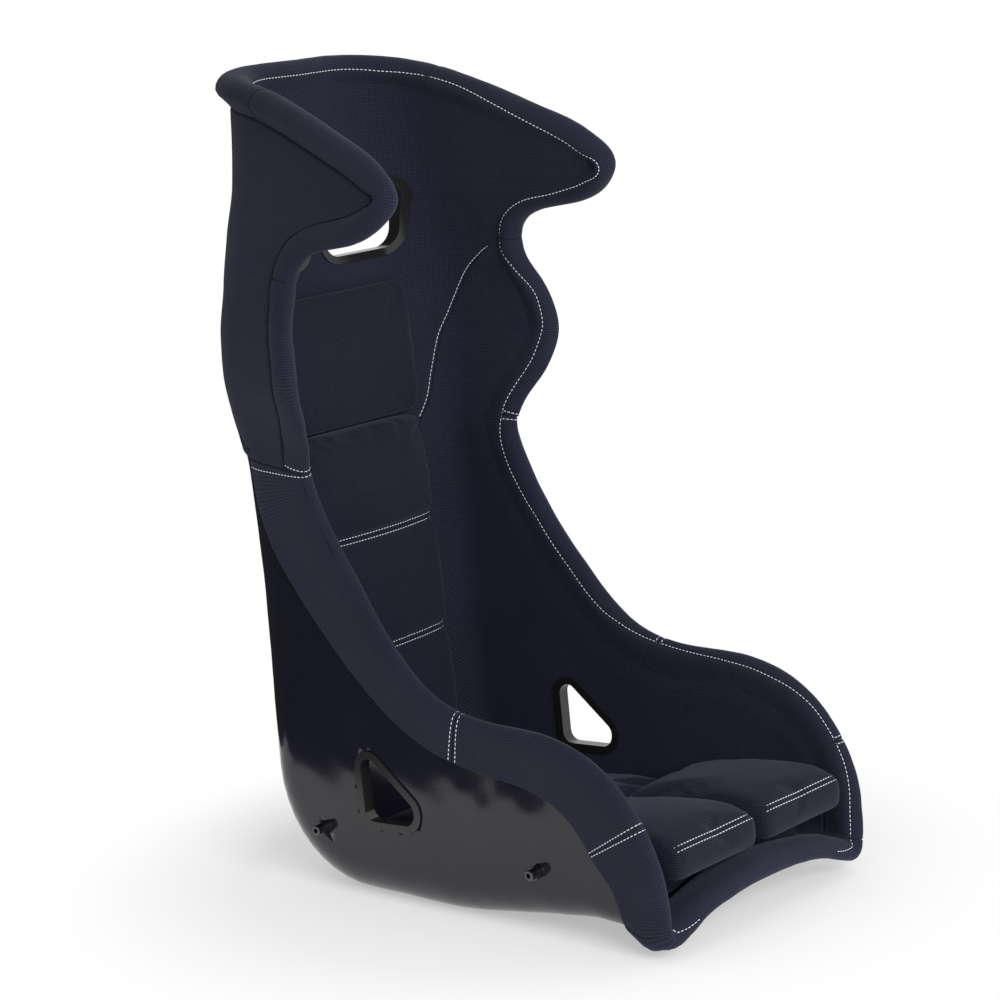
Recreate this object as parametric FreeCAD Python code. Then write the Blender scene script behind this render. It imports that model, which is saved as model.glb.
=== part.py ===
"""Fixed-back racing seat: a moulded bucket shell with a head halo, padded rim, liners and loose cushions.

Units are millimetres. X runs across the seat to the sitter's left, Y from the front to the back, Z up.
The origin lies on the floor, midway between the four side fixings.

Every curved piece follows one family of U-shaped cross-sections. The sections stand upright along the
pan, turn round a pivot at the hips and lie level up the back. A section is a floor, two corner radii
and two walls that lean outwards. The pieces are offsets of that family, trimmed in the side view.
"""
import FreeCAD, Part
import math
import os

Vector = FreeCAD.Vector

# Shell laminate and spine, seen from the side
WALL = 5.0                # laminate thickness
SEAT_SINK = 0.8           # how far the moulded floor is dressed flat underneath
FLAT_REAR = 130.0         # where the flat underside ends and the hip bend starts
HIP_RADIUS = 142.0        # bend between the pan and the back
BACK_LEAN = 4.75          # lean of the back from upright, degrees
FRONT_Y = -356.0          # front edge of the pan and of the thigh walls
PIVOT_Y = -20.0           # pivot of the cross-sections round the hips
PIVOT_Z = 420.0
HIP_SPAN = 300.0          # station length given to the turn round the pivot
BELOW = -60.0             # height well below the floor
TALL = 1200.0             # height well above the head
FORE = -450.0             # place well ahead of the front edge
AFT = 550.0               # place well behind the back
REACH = 320.0             # half width of a cutter that spans the whole seat

# Underside of the pan ahead of the pivot: place along Y and height
PAN_LINE = ((-420.0, -4.0), (-356.0, 20.0), (-310.0, 30.0), (-256.0, 31.0), (-188.0, 23.0),
            (-125.0, 14.0), (-62.0, 4.5), (-20.0, 0.0))

# Cross-sections: station, half width at the floor, wall lean, corner radius, crown of the floor
SECTIONS = (
    (-400.0, 204.0, 0.045, 24.0, 25.0),   # ahead of the front edge
    (-336.0, 204.0, 0.045, 24.0, 25.0),   # front edge of the pan
    (-180.0, 203.0, 0.030, 40.0, 8.0),    # thighs
    (0.0, 202.0, 0.015, 50.0, 0.4),       # side fixings
    (150.0, 201.0, 0.010, 60.0, 0.4),     # hips
    (300.0, 196.0, 0.020, 70.0, 0.4),     # waist
    (395.0, 196.0, 0.045, 74.0, 0.4),     # foot of the shoulders
    (440.0, 198.0, 0.100, 78.0, 0.4),
    (480.0, 201.0, 0.215, 82.0, 0.4),
    (533.0, 204.0, 0.300, 86.0, 0.4),     # widest point of the shoulders
    (580.0, 203.0, 0.270, 90.0, 0.4),
    (640.0, 195.0, 0.180, 95.0, 0.4),     # notch below the head wings
    (700.0, 180.0, 0.180, 100.0, 0.4),    # lower edge of the wings
    (760.0, 164.0, 0.145, 104.0, 0.4),    # tips of the wings
    (826.0, 153.0, 0.145, 104.0, 0.4),
    (890.0, 147.0, 0.130, 102.0, 0.4),    # top edge
    (980.0, 143.0, 0.120, 100.0, 0.4),    # above the top edge
)
WALL_REACH = ((-400.0, 300.0), (0.0, 350.0), (150.0, 440.0), (300.0, 290.0), (560.0, 330.0),
              (660.0, 410.0), (980.0, 410.0))   # station and height of the untrimmed walls
LOFT_STEP = 24.0          # spacing of the lofted sections
LOFT_RANGE = (-400.0, 980.0)
LOFT_DEGREE = 8

# Edge of the shell in the side view, from the top of the head to the front of the thighs
EDGE_LINE = (
    (440.0, 1024.0), (330.0, 1013.0), (213.0, 990.0), (88.0, 943.0),
    (8.0, 901.0), (-8.0, 878.0), (6.0, 856.0),                # tip of the head wing
    (82.0, 826.0), (147.0, 799.0), (158.0, 770.0), (147.0, 717.0),   # notch above the shoulder
    (133.0, 645.0), (145.0, 588.0), (166.0, 537.0), (150.0, 482.0),  # shoulder and elbow
    (64.0, 351.0), (-28.0, 268.0), (-118.0, 251.0), (-205.0, 246.0), # waist, hip hollow, thigh
    (-280.0, 214.0), (-327.0, 161.0), (-351.0, 100.0), (FRONT_Y, 58.0),
)

# Places where the face along the edge is split
EDGE_SPLITS = ((213.0, 990.0), (-8.0, 878.0), (158.0, 770.0), (166.0, 537.0), (-118.0, 251.0))

# Padded rim: foam and fabric folded over the edge of the shell
FIT = 0.3                 # clearance between neighbouring pieces
RIM_INNER = 13.0          # padding on the inner side of the edge
RIM_OUTER = 5.0           # padding on the outer side of the edge
RIM_CAP = 7.0             # padding beyond the edge
RIM_ROUND = 12.0          # length over which the padding is rounded off
RIM_HEM_INNER = 6.0       # thickness at the sewn inner hem
RIM_HEM_OUTER = 2.2       # thickness at the glued outer hem
RIM_THICKEST = 18.0       # padding thicker than this keeps its depth at the hem
HEM_SHARE = 0.9           # share of that extra depth at the hem
SEAM_GAP = 0.8            # gap between two lengths of padding at a seam
SEAM_UPPER = (166.0, 537.0)     # seams of the padding in the side view
SEAM_HIP = (-62.0, 258.0)
SEAM_KNEE = (-327.0, 161.0)
SEAM_NOTCH = (157.0, 775.0)
SEAM_TEMPLE = (232.0, 994.0)
RIM_STEP = 24.0           # spacing of the cross-sections of the padding
# Lengths of padding from the middle of the head to the middle of the pan:
# name, then at start and end: reach of the inner hem, reach of the outer hem, padding inside and outside
RIM_LENGTHS = (
    ("halo_roll", (34.0, 30.0), (38.0, 32.0), (20.0, 20.0), (22.0, 20.0)),
    ("wing_roll", (30.0, 30.0), (32.0, 26.0), (20.0, 17.0), (20.0, 6.0)),
    ("shoulder_roll", (30.0, 48.0), (26.0, 30.0), (17.0, RIM_INNER), (6.0, RIM_OUTER)),
    ("torso_roll", (48.0, 50.0), (98.0, 58.0), (RIM_INNER, RIM_INNER), (RIM_OUTER, RIM_OUTER)),
    ("thigh_roll", (50.0, 48.0), (58.0, 84.0), (RIM_INNER, RIM_INNER), (RIM_OUTER, RIM_OUTER)),
    ("front_roll", (48.0, 44.0), (84.0, 60.0), (RIM_INNER, 15.0), (RIM_OUTER, RIM_OUTER)),
    ("front_lip", (44.0, 56.0), (60.0, 30.0), (15.0, 28.0), (RIM_OUTER, RIM_OUTER)),
)
RIM_FOOT_Z = 40.0         # height at which the front roll gives way to the front lip
WING_TIP = (-8.0, 878.0)  # where the edge turns tightly and the padding reaches less far
TIP_PINCH = 13.0          # reach lost there
TIP_SPAN = 30.0           # distance along the edge over which it comes back

# Liners
LINING = 6.0              # foam-backed fabric against the shell
HEM_SPACING = 12.0        # least spacing of the points that give the outline of the liners
LINED = 6                 # lengths of padding that border the liners, and the cover
COVERED = 3
REACH_IN = 0              # places of the hems in the shape of a length of padding
REACH_OUT = 1
LINING_GAP = 2.8          # gap between the liners and the hem of the rim
COVER_BACK = 26.0         # distance of the cover from the rear face of the shell
COVER_FOOT_Z = 500.0      # height of the line from which the cover starts
COVER = 3.5               # fabric cover on the outside of head and shoulders
HEAD_SEAM_Z = 535.0       # seam between the head liner and the back liner, behind the lumbar cushion
BACK_FOOT_Z = 62.0        # height at which the side seams start to draw in
# Seams between the middle liners and the side liners in the front view, up to the notch
BRANCH_SEAM = ((130.0, 102.0), (131.0, 300.0), (130.0, 505.0), (155.0, 528.0), (168.0, 555.0), (180.0, 595.0),
               (195.0, 639.0), (206.0, 675.0), (210.0, 709.0), (207.0, 753.0), (207.0, 768.0))

# Harness slots
SLOT_WALL = 3.0           # wall of a slot liner
SHOULDER_SLOT_X = (17.0, 150.0)
SHOULDER_SLOT_Z = (766.0, 852.0)
SHOULDER_SLOT_RADIUS = 24.0
LAP_SLOT = ((104.0, 201.0), (98.0, 104.0), (-11.0, 109.0))   # corners in the side view
LAP_SLOT_RADII = (14.0, 14.0, 17.0)
CROTCH_SLOT_Y = (-188.0, -152.0)
CROTCH_SLOT_HALF = 34.0
CROTCH_SLOT_RADIUS = 12.0
CROTCH_LINER_FOOT = 19.0
SHOULDER_CUT_Y = (200.0, 420.0)   # reach of the cutters of the slots through the shell
LAP_CUT_X = (150.0, 260.0)
CROTCH_CUT_Z = (-40.0, 120.0)
LIP = 7.0                 # flange of a slot liner beyond the slot
LIP_THICKNESS = 2.6

# Side fixings
BOLT_Z = 83.0             # height of the fixings
BOLT_SPACING = 345.0      # front to rear distance of the fixings
THREAD_RADIUS = 4.0       # M8
BOLT_HEAD_RADIUS = 6.5
BOLT_HEAD_HEIGHT = 8.0
HEAD_CHAMFER = 0.8
BOLT_LENGTH = 16.0
SOCKET_RADIUS = 3.46      # corner radius of the 6 mm hexagon socket
SOCKET_DEPTH = 4.0
WASHER_RADIUS = 8.0
WASHER_THICKNESS = 1.6
THREAD_PLAY = 0.1         # play between a bolt and its thread
COLLAR_RADIUS = 7.5       # steel collar of an insert, standing proud of the shell
COLLAR_LENGTH = 8.0
INSERT_FLANGE_RADIUS = 15.0
INSERT_FLANGE = 2.0
POCKET_FLOOR = 2.0        # lining left over the flange of an insert

# Base foam and cushions
BASE_TOP = ((-370.0, 62.0), (-340.0, 84.0), (-300.0, 84.0), (-150.0, 62.0), (0.0, 46.0), (150.0, 40.0))
BASE_REAR_Y = 150.0
BASE_HALF = 158.0
SEAT_CUSHION_Y = (-130.0, 160.0)
SEAT_CUSHION_HALF = 150.0
SEAT_CUSHION_THICK = 50.0
THIGH_PAD_Y = (-349.0, -134.0)
THIGH_PAD_X = (7.0, 163.0)
THIGH_PAD_THICK = 60.0
SEAT_EDGE = 0.80
LUMBAR_Z = (122.0, 545.0)
LUMBAR_HALF = 138.0
LUMBAR_THICK = 48.0
LUMBAR_EDGE = 0.66        # depth at the sides of a cushion as a share of its full depth
LUMBAR_CHANNELS = (263.0, 411.0)
BACK_PAD_Z = (550.0, 726.0)
BACK_PAD_HALF = 146.0
BACK_PAD_THICK = 34.0
BACK_PAD_EDGE = 0.74
BACK_PAD_TUCK = 13.0      # how far the rear corners of the back pad are drawn in
BACK_PAD_GAP = 1.2
CUSHION_GAP = 2.8         # room for the tapes between a cushion and what carries it
TAPE = 1.6
TAPE_PLAY = 0.7
TAPE_WIDTH = 30.0
TAPE_X = 70.0
TAPE_INSET = 30.0
BASE_STEP = 25.0          # spacing of the points of the foam's top
CUSHION_STEP = 11.0       # spacing of the sections of a cushion
CUSHION_TUCK = 7.0        # how far the rear corners are drawn in
CUSHION_LAP = 5.6         # how far the front corners are drawn in
CUSHION_CROWN = 1.04
CUSHION_END = ((0.0, 0.42, 0.85), (6.0, 0.68, 0.93), (16.0, 0.88, 0.98), (32.0, 0.98, 1.0))
CUSHION_CHANNEL = ((0.0, 0.82), (11.0, 0.93), (26.0, 0.99))


def blend(table, place):
    """Value at a place of the smooth curve through (place, value) pairs, without overshoot."""
    xs = [row[0] for row in table]
    ys = [row[1] for row in table]
    if place <= xs[0]:
        return ys[0]
    if place >= xs[-1]:
        return ys[-1]
    rises = [(ys[i + 1] - ys[i]) / (xs[i + 1] - xs[i]) for i in range(len(xs) - 1)]
    slopes = [rises[0]]
    for before, after in zip(rises, rises[1:]):
        same_way = before * after > 0
        slopes.append(2 * before * after / (before + after) if same_way else 0.0)
    slopes.append(rises[-1])
    i = max(k for k in range(len(xs) - 1) if xs[k] <= place)
    width = xs[i + 1] - xs[i]
    t = (place - xs[i]) / width
    start = ys[i] * (1 + 2 * t) * (1 - t) ** 2 + slopes[i] * width * t * (1 - t) ** 2
    end = ys[i + 1] * t * t * (3 - 2 * t) + slopes[i + 1] * width * t * t * (t - 1)
    return start + end


def column(number):
    """One column of the section table against the station."""
    return [(row[0], row[number]) for row in SECTIONS]


HALF_WIDTH = column(1)
WALL_LEAN = column(2)
CORNER_RADIUS = column(3)
FLOOR_CROWN = column(4)
TUBS = {}                 # tubs by their offset, each lofted once


def pan_z(y):
    """Height of the moulded underside at a place along the pan."""
    return blend(PAN_LINE, y) - SEAT_SINK


def back_y(z):
    """Rear face of the shell on its centre line at a height above the hip bend."""
    lean = math.radians(BACK_LEAN)
    return FLAT_REAR + HIP_RADIUS / math.cos(lean) + math.tan(lean) * (z - HIP_RADIUS)


def hip_reach(angle):
    """Distance from the pivot to the spine, at an angle from straight down towards the back."""
    floor_z = -SEAT_SINK
    lean = math.radians(BACK_LEAN)
    side, drop = math.sin(angle), math.cos(angle)
    if drop > 1e-9:
        reach = (PIVOT_Z - floor_z) / drop
        if PIVOT_Y + reach * side <= FLAT_REAR:
            return reach
    reach = (back_y(PIVOT_Z) - PIVOT_Y) / (side + math.tan(lean) * drop)
    if PIVOT_Z - reach * drop >= HIP_RADIUS * (1 - math.sin(lean)):
        return reach
    across, down = FLAT_REAR - PIVOT_Y, PIVOT_Z - (floor_z + HIP_RADIUS)
    along = across * side + down * drop
    return along + math.sqrt(along ** 2 - across ** 2 - down ** 2 + HIP_RADIUS ** 2)


def spine(station):
    """Spine point (y, z) of a station and the direction (y, z) from it into the seat."""
    if station <= 0:
        y = PIVOT_Y + station
        return (y, pan_z(y)), (0.0, 1.0)
    if station >= HIP_SPAN:
        z = PIVOT_Z + station - HIP_SPAN
        return (back_y(z), z), (-1.0, 0.0)
    angle = math.pi / 2 * station / HIP_SPAN
    reach = hip_reach(angle)
    point = (PIVOT_Y + reach * math.sin(angle), PIVOT_Z - reach * math.cos(angle))
    return point, (-math.sin(angle), math.cos(angle))


def locate(y, z):
    """Station of a point in the side view and its height above the spine."""
    if z >= PIVOT_Z:
        return HIP_SPAN + z - PIVOT_Z, back_y(z) - y
    if y <= PIVOT_Y:
        return y - PIVOT_Y, z - pan_z(y)
    angle = math.atan2(y - PIVOT_Y, PIVOT_Z - z)
    return HIP_SPAN * angle / (math.pi / 2), hip_reach(angle) - math.hypot(y - PIVOT_Y, PIVOT_Z - z)


def place(station, x, height):
    """Point in space of a place (x, height) in the plane of a section."""
    (y, z), (dy, dz) = spine(station)
    return Vector(x, y + height * dy, z + height * dz)


def corner(station, grow=0.0):
    """Shape of a section's corner: wall x at the floor, lean angle, radius, tangent length, crown."""
    lean = math.atan(blend(WALL_LEAN, station))
    radius = blend(CORNER_RADIUS, station) + grow
    wall_x = blend(HALF_WIDTH, station) + grow / math.cos(lean) - grow * math.tan(lean)
    tangent = radius * math.tan((math.pi / 2 - lean) / 2)
    return wall_x, lean, radius, tangent, blend(FLOOR_CROWN, station)


def section_wire(station, grow):
    """Closed section of the tub, grown outwards."""
    wall_x, lean, radius, tangent, crown = corner(station, grow)
    top = blend(WALL_REACH, station)
    foot_x = wall_x - tangent
    foot = (foot_x, -grow)
    shoulder = (wall_x + tangent * math.sin(lean), -grow + tangent * math.cos(lean))
    middle = math.pi / 4 - lean / 2
    bend = (foot_x + radius * math.sin(middle), -grow + radius * (1 - math.cos(middle)))
    rim = (wall_x + (top + grow) * math.tan(lean), top)

    def at(pair, side):
        return place(station, side * pair[0], pair[1])

    edges = [
        Part.makeLine(at(rim, 1), at(shoulder, 1)),
        Part.Arc(at(shoulder, 1), at(bend, 1), at(foot, 1)).toShape(),
        Part.Arc(at(foot, 1), place(station, 0, crown - grow), at(foot, -1)).toShape(),
        Part.Arc(at(foot, -1), at(bend, -1), at(shoulder, -1)).toShape(),
        Part.makeLine(at(shoulder, -1), at(rim, -1)),
        Part.makeLine(at(rim, -1), at(rim, 1)),
    ]
    return Part.Wire(edges)


def tub(grow):
    """Solid that fills the bucket out to an offset of the outer face of the shell."""
    if grow not in TUBS:
        first, last = LOFT_RANGE
        count = round((last - first) / LOFT_STEP)
        stations = [first + (last - first) * step / count for step in range(count + 1)]
        wires = [section_wire(station, grow) for station in stations]
        TUBS[grow] = Part.makeLoft(wires, True, False, False, LOFT_DEGREE)
    return TUBS[grow]


def outside(point):
    """Distance of a point beyond the outer face of the shell, negative within it."""
    station, height = locate(point.y, point.z)
    wall_x, lean, radius, tangent, crown = corner(station)
    x = abs(point.x)
    foot_x = wall_x - tangent
    across, up = x - foot_x, height - radius
    if across * math.sin(lean) + up * math.cos(lean) >= 0 and across > 0:
        return (x - wall_x - height * math.tan(lean)) * math.cos(lean)
    if across <= 0:
        return crown * (1 - (x / foot_x) ** 2) - height
    return math.hypot(across, up) - radius


def outward(point):
    """Unit direction away from the outer face of the shell at a point."""
    step = 0.5
    moves = (Vector(step, 0, 0), Vector(0, step, 0), Vector(0, 0, step))
    slopes = [outside(point + move) - outside(point - move) for move in moves]
    direction = Vector(*slopes)
    direction.normalize()
    return direction


def settle(point, direction, distance):
    """Move a point along a direction until it is at a distance beyond the outer face."""
    for _ in range(8):
        point = point + direction * (distance - outside(point))
    return point


def through(points):
    """Edge of the smooth curve through points."""
    curve = Part.BSplineCurve()
    curve.interpolate(points)
    return curve.toShape()


def side_curve(grow=0.0):
    """Edge of the shell in the side view, as a curve in the plane x = 0, grown away from the seat."""
    curve = Part.BSplineCurve()
    points = [Vector(0, y, z) for y, z in EDGE_LINE]
    curve.interpolate(points)
    if grow:
        ways = [curve.tangent(curve.parameter(point))[0] for point in points]
        moved = [point + Vector(0, way.z, -way.y) * grow for point, way in zip(points, ways)]
        curve.interpolate(moved)
    return curve


def edge_path():
    """Edge of the shell in space, from the middle of the head round one side to the middle of the pan."""
    points = []
    top_line = sorted((y, z) for y, z in EDGE_LINE[:5])
    head_station = HIP_SPAN + EDGE_LINE[1][1] - PIVOT_Z
    wall_x, lean, radius, tangent, _ = corner(head_station)
    foot_x = wall_x - tangent
    for share in (0.0, 0.35, 0.7, 1.0):
        y = back_y(EDGE_LINE[1][1])
        points.append(Vector(share * foot_x, y, blend(top_line, y)))
    turn = math.pi / 2 - lean
    for share in (0.2, 0.4, 0.6, 0.8, 1.0):
        x = foot_x + radius * math.sin(share * turn)
        y = back_y(EDGE_LINE[1][1]) - radius * (1 - math.cos(share * turn))
        points.append(Vector(x, y, blend(top_line, y)))
    curve = side_curve()
    start = curve.parameter(Vector(0, points[-1].y - 25.0, blend(top_line, points[-1].y - 25.0)))
    trimmed = Part.Edge(curve, start, curve.LastParameter)
    for spot in trimmed.discretize(Distance=18.0):
        points.append(Vector(wall_line_x(spot.y, spot.z), spot.y, spot.z))
    station = FRONT_Y - PIVOT_Y
    wall_x, lean, radius, tangent, crown = corner(station)
    foot_x = wall_x - tangent
    for share in (1.0, 0.66, 0.33, 0.0):
        angle = share * (math.pi / 2 - lean)
        points.append(place(station, foot_x + radius * math.sin(angle), radius * (1 - math.cos(angle))))
    for share in (0.75, 0.5, 0.25, 0.0):
        points.append(place(station, share * foot_x, crown * (1 - share ** 2)))
    seated = [points[0]]
    for point in points[1:]:
        point = settle(point, outward(point), 0.0)
        if point.distanceToPoint(seated[-1]) > 6.0:
            seated.append(point)
    seated[-1].x = 0.0
    curve = Part.BSplineCurve()
    curve.interpolate(seated)
    return curve


def wall_line_x(y, z):
    """X of the outer face of the left wall at a place in the side view."""
    station, height = locate(y, z)
    wall_x, lean, _, _, _ = corner(station)
    return wall_x + height * math.tan(lean)


class Rim:
    """The edge of the shell with frames for padding that folds over it."""

    def __init__(self):
        self.curve = edge_path()
        self.first = self.curve.FirstParameter
        self.last = self.curve.LastParameter
        self.scale = self.curve.length() / (self.last - self.first)
        self.tip = self.at(*WING_TIP)

    def at(self, y, z):
        """Parameter of the edge point nearest to a place in the side view."""
        return self.curve.parameter(Vector(wall_line_x(y, z), y, z))

    def frame(self, parameter):
        """Edge point, direction away from the edge along the shell, and direction outwards."""
        point = self.curve.value(parameter)
        along = self.curve.tangent(parameter)[0]
        out = outward(point)
        if parameter in (self.first, self.last):
            along = Vector(1, 0, 0) if parameter == self.first else Vector(-1, 0, 0)
            out.x = 0.0
            out.normalize()
        inward = out.cross(along)
        inward.normalize()
        out = along.cross(inward)
        out.normalize()
        return settle(point, out, 0.0), inward, out

    def stops(self, length):
        """Parameters of the sections of a length of padding and their reaches and thicknesses."""
        _, start, end, *pairs = length
        count = max(4, round((end - start) * self.scale / RIM_STEP))
        spots = []
        for step in range(count + 1):
            share = step / count
            spot = start + (end - start) * share
            reach_in, reach_out, thick_in, thick_out = [eased(pair, share) for pair in pairs]
            lost = TIP_PINCH * math.exp(-((spot - self.tip) * self.scale / TIP_SPAN) ** 2)
            spots.append((spot, (reach_in - lost, reach_out - lost, thick_in, thick_out)))
        return spots


def rim_section(frame, reach_in, reach_out, thick_in, thick_out):
    """Closed cross-section of the padding at one frame of the edge, before the shell is cut out of it."""
    point, inward, out = frame

    def at(depth, distance):
        return settle(point + inward * depth + out * distance, out, distance)

    middle = -WALL / 2
    fall_in = -WALL - thick_in
    hem_in = -WALL - FIT - RIM_HEM_INNER - max(0.0, thick_in - RIM_THICKEST) * HEM_SHARE
    hem_out = FIT + RIM_HEM_OUTER
    turn = [math.radians(a) for a in (90, 60, 30, 0)]

    def cap(height):
        depths = [RIM_ROUND - (RIM_ROUND + RIM_CAP) * math.cos(a) for a in turn]
        return [at(depth, middle + height * math.sin(a)) for depth, a in zip(depths, turn)]

    outer_cap = cap(thick_out - middle)
    inner_cap = cap(fall_in - middle)
    inner_cap.reverse()
    mid_out = (RIM_ROUND + reach_out) / 2
    mid_in = (RIM_ROUND + reach_in) / 2
    outer_leg = [at(reach_out, hem_out), at(mid_out, (thick_out + hem_out) / 2 + 0.5), outer_cap[0]]
    inner_leg = [inner_cap[-1], at(mid_in, (fall_in + hem_in) / 2 - 1.5), at(reach_in, hem_in)]
    core = [at(reach_in, middle), at((reach_in + reach_out) / 2, middle), at(reach_out, middle)]
    edges = [
        Part.makeLine(core[-1], outer_leg[0]),
        through(outer_leg),
        through(outer_cap),
        through(inner_cap),
        through(inner_leg),
        Part.makeLine(inner_leg[-1], core[0]),
        through(core),
    ]
    return Part.Wire(edges)


def mirrored(shape):
    """The same piece on the other side of the seat."""
    return shape.mirror(Vector(0, 0, 0), Vector(1, 0, 0))


def save(name, shape):
    """Write one node and report its validity and volume."""
    shape.exportStep("parts/%s.step" % name)
    state = "ok" if shape.isValid() else "INVALID"
    print("%-28s %s solids %d volume %.1f cm3" % (name, state, len(shape.Solids), shape.Volume / 1000))


def slab(face, start, length):
    """Prism of a face drawn in the side view, from x = start."""
    return face.translated(Vector(start, 0, 0)).extrude(Vector(length, 0, 0))


def side_prism(grow=0.0):
    """Everything that the edge of the shell encloses in the side view."""
    curve = side_curve(grow)
    first, last = curve.value(curve.FirstParameter), curve.value(curve.LastParameter)
    corners = [last, Vector(0, last.y, BELOW), Vector(0, first.y, BELOW), first]
    lines = [Part.makeLine(a, b) for a, b in zip(corners, corners[1:])]
    stops = [curve.FirstParameter] + [curve.parameter(Vector(0, y, z)) for y, z in EDGE_SPLITS]
    stops.append(curve.LastParameter)
    runs = [Part.Edge(curve, a, b) for a, b in zip(stops, stops[1:])]
    return slab(Part.Face(Part.Wire(runs + lines)), -REACH, 2 * REACH)


def rounded(points, radii):
    """Closed wire of straight sides with a tangent arc at each corner."""
    count = len(points)
    starts, arcs, ends = [], [], []
    for i, radius in enumerate(radii):
        tip = points[i]
        to_last = (points[i - 1] - tip).normalize()
        to_next = (points[(i + 1) % count] - tip).normalize()
        half = to_last.getAngle(to_next) / 2
        reach = radius / math.tan(half)
        middle = (to_last + to_next).normalize() * (radius / math.sin(half) - radius)
        starts.append(tip + to_last * reach)
        ends.append(tip + to_next * reach)
        arcs.append(Part.Arc(starts[-1], tip + middle, ends[-1]).toShape())
    edges = []
    for i in range(count):
        edges.append(arcs[i])
        edges.append(Part.makeLine(ends[i], starts[(i + 1) % count]))
    return Part.Wire(edges)


def lap_outline(grow=0.0):
    """Rounded triangle of a lap belt slot in the side view, grown outwards."""
    points = [Vector(0, y, z) for y, z in LAP_SLOT]
    grown = []
    for i, tip in enumerate(points):
        to_last = (points[i - 1] - tip).normalize()
        to_next = (points[(i + 1) % 3] - tip).normalize()
        half = to_last.getAngle(to_next) / 2
        grown.append(tip - (to_last + to_next).normalize() * (grow / math.sin(half)))
    return Part.Face(rounded(grown, [radius + grow for radius in LAP_SLOT_RADII]))


def box_outline(x_range, z_range, radius, grow=0.0):
    """Rounded rectangle in the plane y = 0, grown outwards."""
    x0, x1 = x_range[0] - grow, x_range[1] + grow
    z0, z1 = z_range[0] - grow, z_range[1] + grow
    points = [Vector(x0, 0, z0), Vector(x1, 0, z0), Vector(x1, 0, z1), Vector(x0, 0, z1)]
    return Part.Face(rounded(points, [radius + grow] * 4))


def shoulder_prism(grow, y0, y1):
    """Prism of the left shoulder slot between two places along Y."""
    face = box_outline(SHOULDER_SLOT_X, SHOULDER_SLOT_Z, SHOULDER_SLOT_RADIUS, grow)
    return face.translated(Vector(0, y0, 0)).extrude(Vector(0, y1 - y0, 0))


def lap_prism(grow, x0, x1):
    """Prism of the left lap slot between two places along X."""
    return slab(lap_outline(grow), x0, x1 - x0)


def crotch_prism(grow, z0, z1):
    """Prism of the crotch strap slot between two heights."""
    x, (y0, y1) = CROTCH_SLOT_HALF + grow, (CROTCH_SLOT_Y[0] - grow, CROTCH_SLOT_Y[1] + grow)
    points = [Vector(-x, y0, z0), Vector(x, y0, z0), Vector(x, y1, z0), Vector(-x, y1, z0)]
    face = Part.Face(rounded(points, [CROTCH_SLOT_RADIUS + grow] * 4))
    return face.extrude(Vector(0, 0, z1 - z0))


def both_sides(shape):
    """A left piece and its mirror image as a list."""
    return [shape, mirrored(shape)]


def slot_tools(grow):
    """Cutters for all harness slots at a clearance around the slots."""
    tools = both_sides(shoulder_prism(grow, *SHOULDER_CUT_Y))
    tools += both_sides(lap_prism(grow, *LAP_CUT_X))
    tools.append(crotch_prism(grow, *CROTCH_CUT_Z))
    return tools


def rim_lengths(rim):
    """Name, start, end and shape of each length of padding on the left side."""
    seams = [rim.at(*seam) for seam in (SEAM_TEMPLE, SEAM_NOTCH, SEAM_UPPER, SEAM_HIP, SEAM_KNEE)]
    stops = [rim.first] + seams + [rim.at(FRONT_Y, RIM_FOOT_Z), rim.last]
    gap = SEAM_GAP / 2 / rim.scale
    lengths = []
    for i, (name, *shape) in enumerate(RIM_LENGTHS):
        start = stops[i] + (gap if i else 0.0)
        end = stops[i + 1] - (gap if i < len(RIM_LENGTHS) - 1 else 0.0)
        lengths.append((name, start, end, *shape))
    return lengths


def eased(pair, share):
    """Value between the two of a pair, with a soft start and end."""
    return pair[0] + (pair[1] - pair[0]) * share * share * (3 - 2 * share)


def rim_piece(rim, core, length):
    """One length of padding along the edge, with room for the shell."""
    wires = [rim_section(rim.frame(spot), *shape) for spot, shape in rim.stops(length)]
    return largest(Part.makeLoft(wires, True, False, False, LOFT_DEGREE).cut(core))


def hem_spots(rim, lengths, hem, flat):
    """Points just beyond a hem of some lengths of padding, laid flat in the front view or the side view."""
    layer_middle = -WALL - FIT - LINING / 2 if hem == REACH_IN else FIT + COVER / 2
    spots = []
    for length in lengths:
        for parameter, shape in rim.stops(length):
            point, inward, out = rim.frame(parameter)
            spot = point + inward * (shape[hem] + LINING_GAP) + out * layer_middle
            spot = settle(spot, out, layer_middle)
            spot = Vector(spot.x * flat[0], spot.y * flat[1], spot.z)
            if not spots or spot.distanceToPoint(spots[-1]) > HEM_SPACING:
                spots.append(spot)
    return spots


def top_prism(rim, lengths, hem):
    """Everything below a hem of the padding over the head, in the front view."""
    spots = hem_spots(rim, lengths[:1], hem, (1, 0))
    spots[0].x = 0.0
    line = [Vector(-spot.x, 0, spot.z) for spot in reversed(spots[1:])] + spots
    corners = [Vector(REACH, 0, spots[-1].z), Vector(REACH, 0, BELOW), Vector(-REACH, 0, BELOW),
               Vector(-REACH, 0, spots[-1].z)]
    corners = [line[-1]] + corners + [line[0]]
    lines = [Part.makeLine(a, b) for a, b in zip(corners, corners[1:])]
    face = Part.Face(Part.Wire([through(line)] + lines))
    return face.translated(Vector(0, FORE, 0)).extrude(Vector(0, AFT - FORE, 0))


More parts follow.
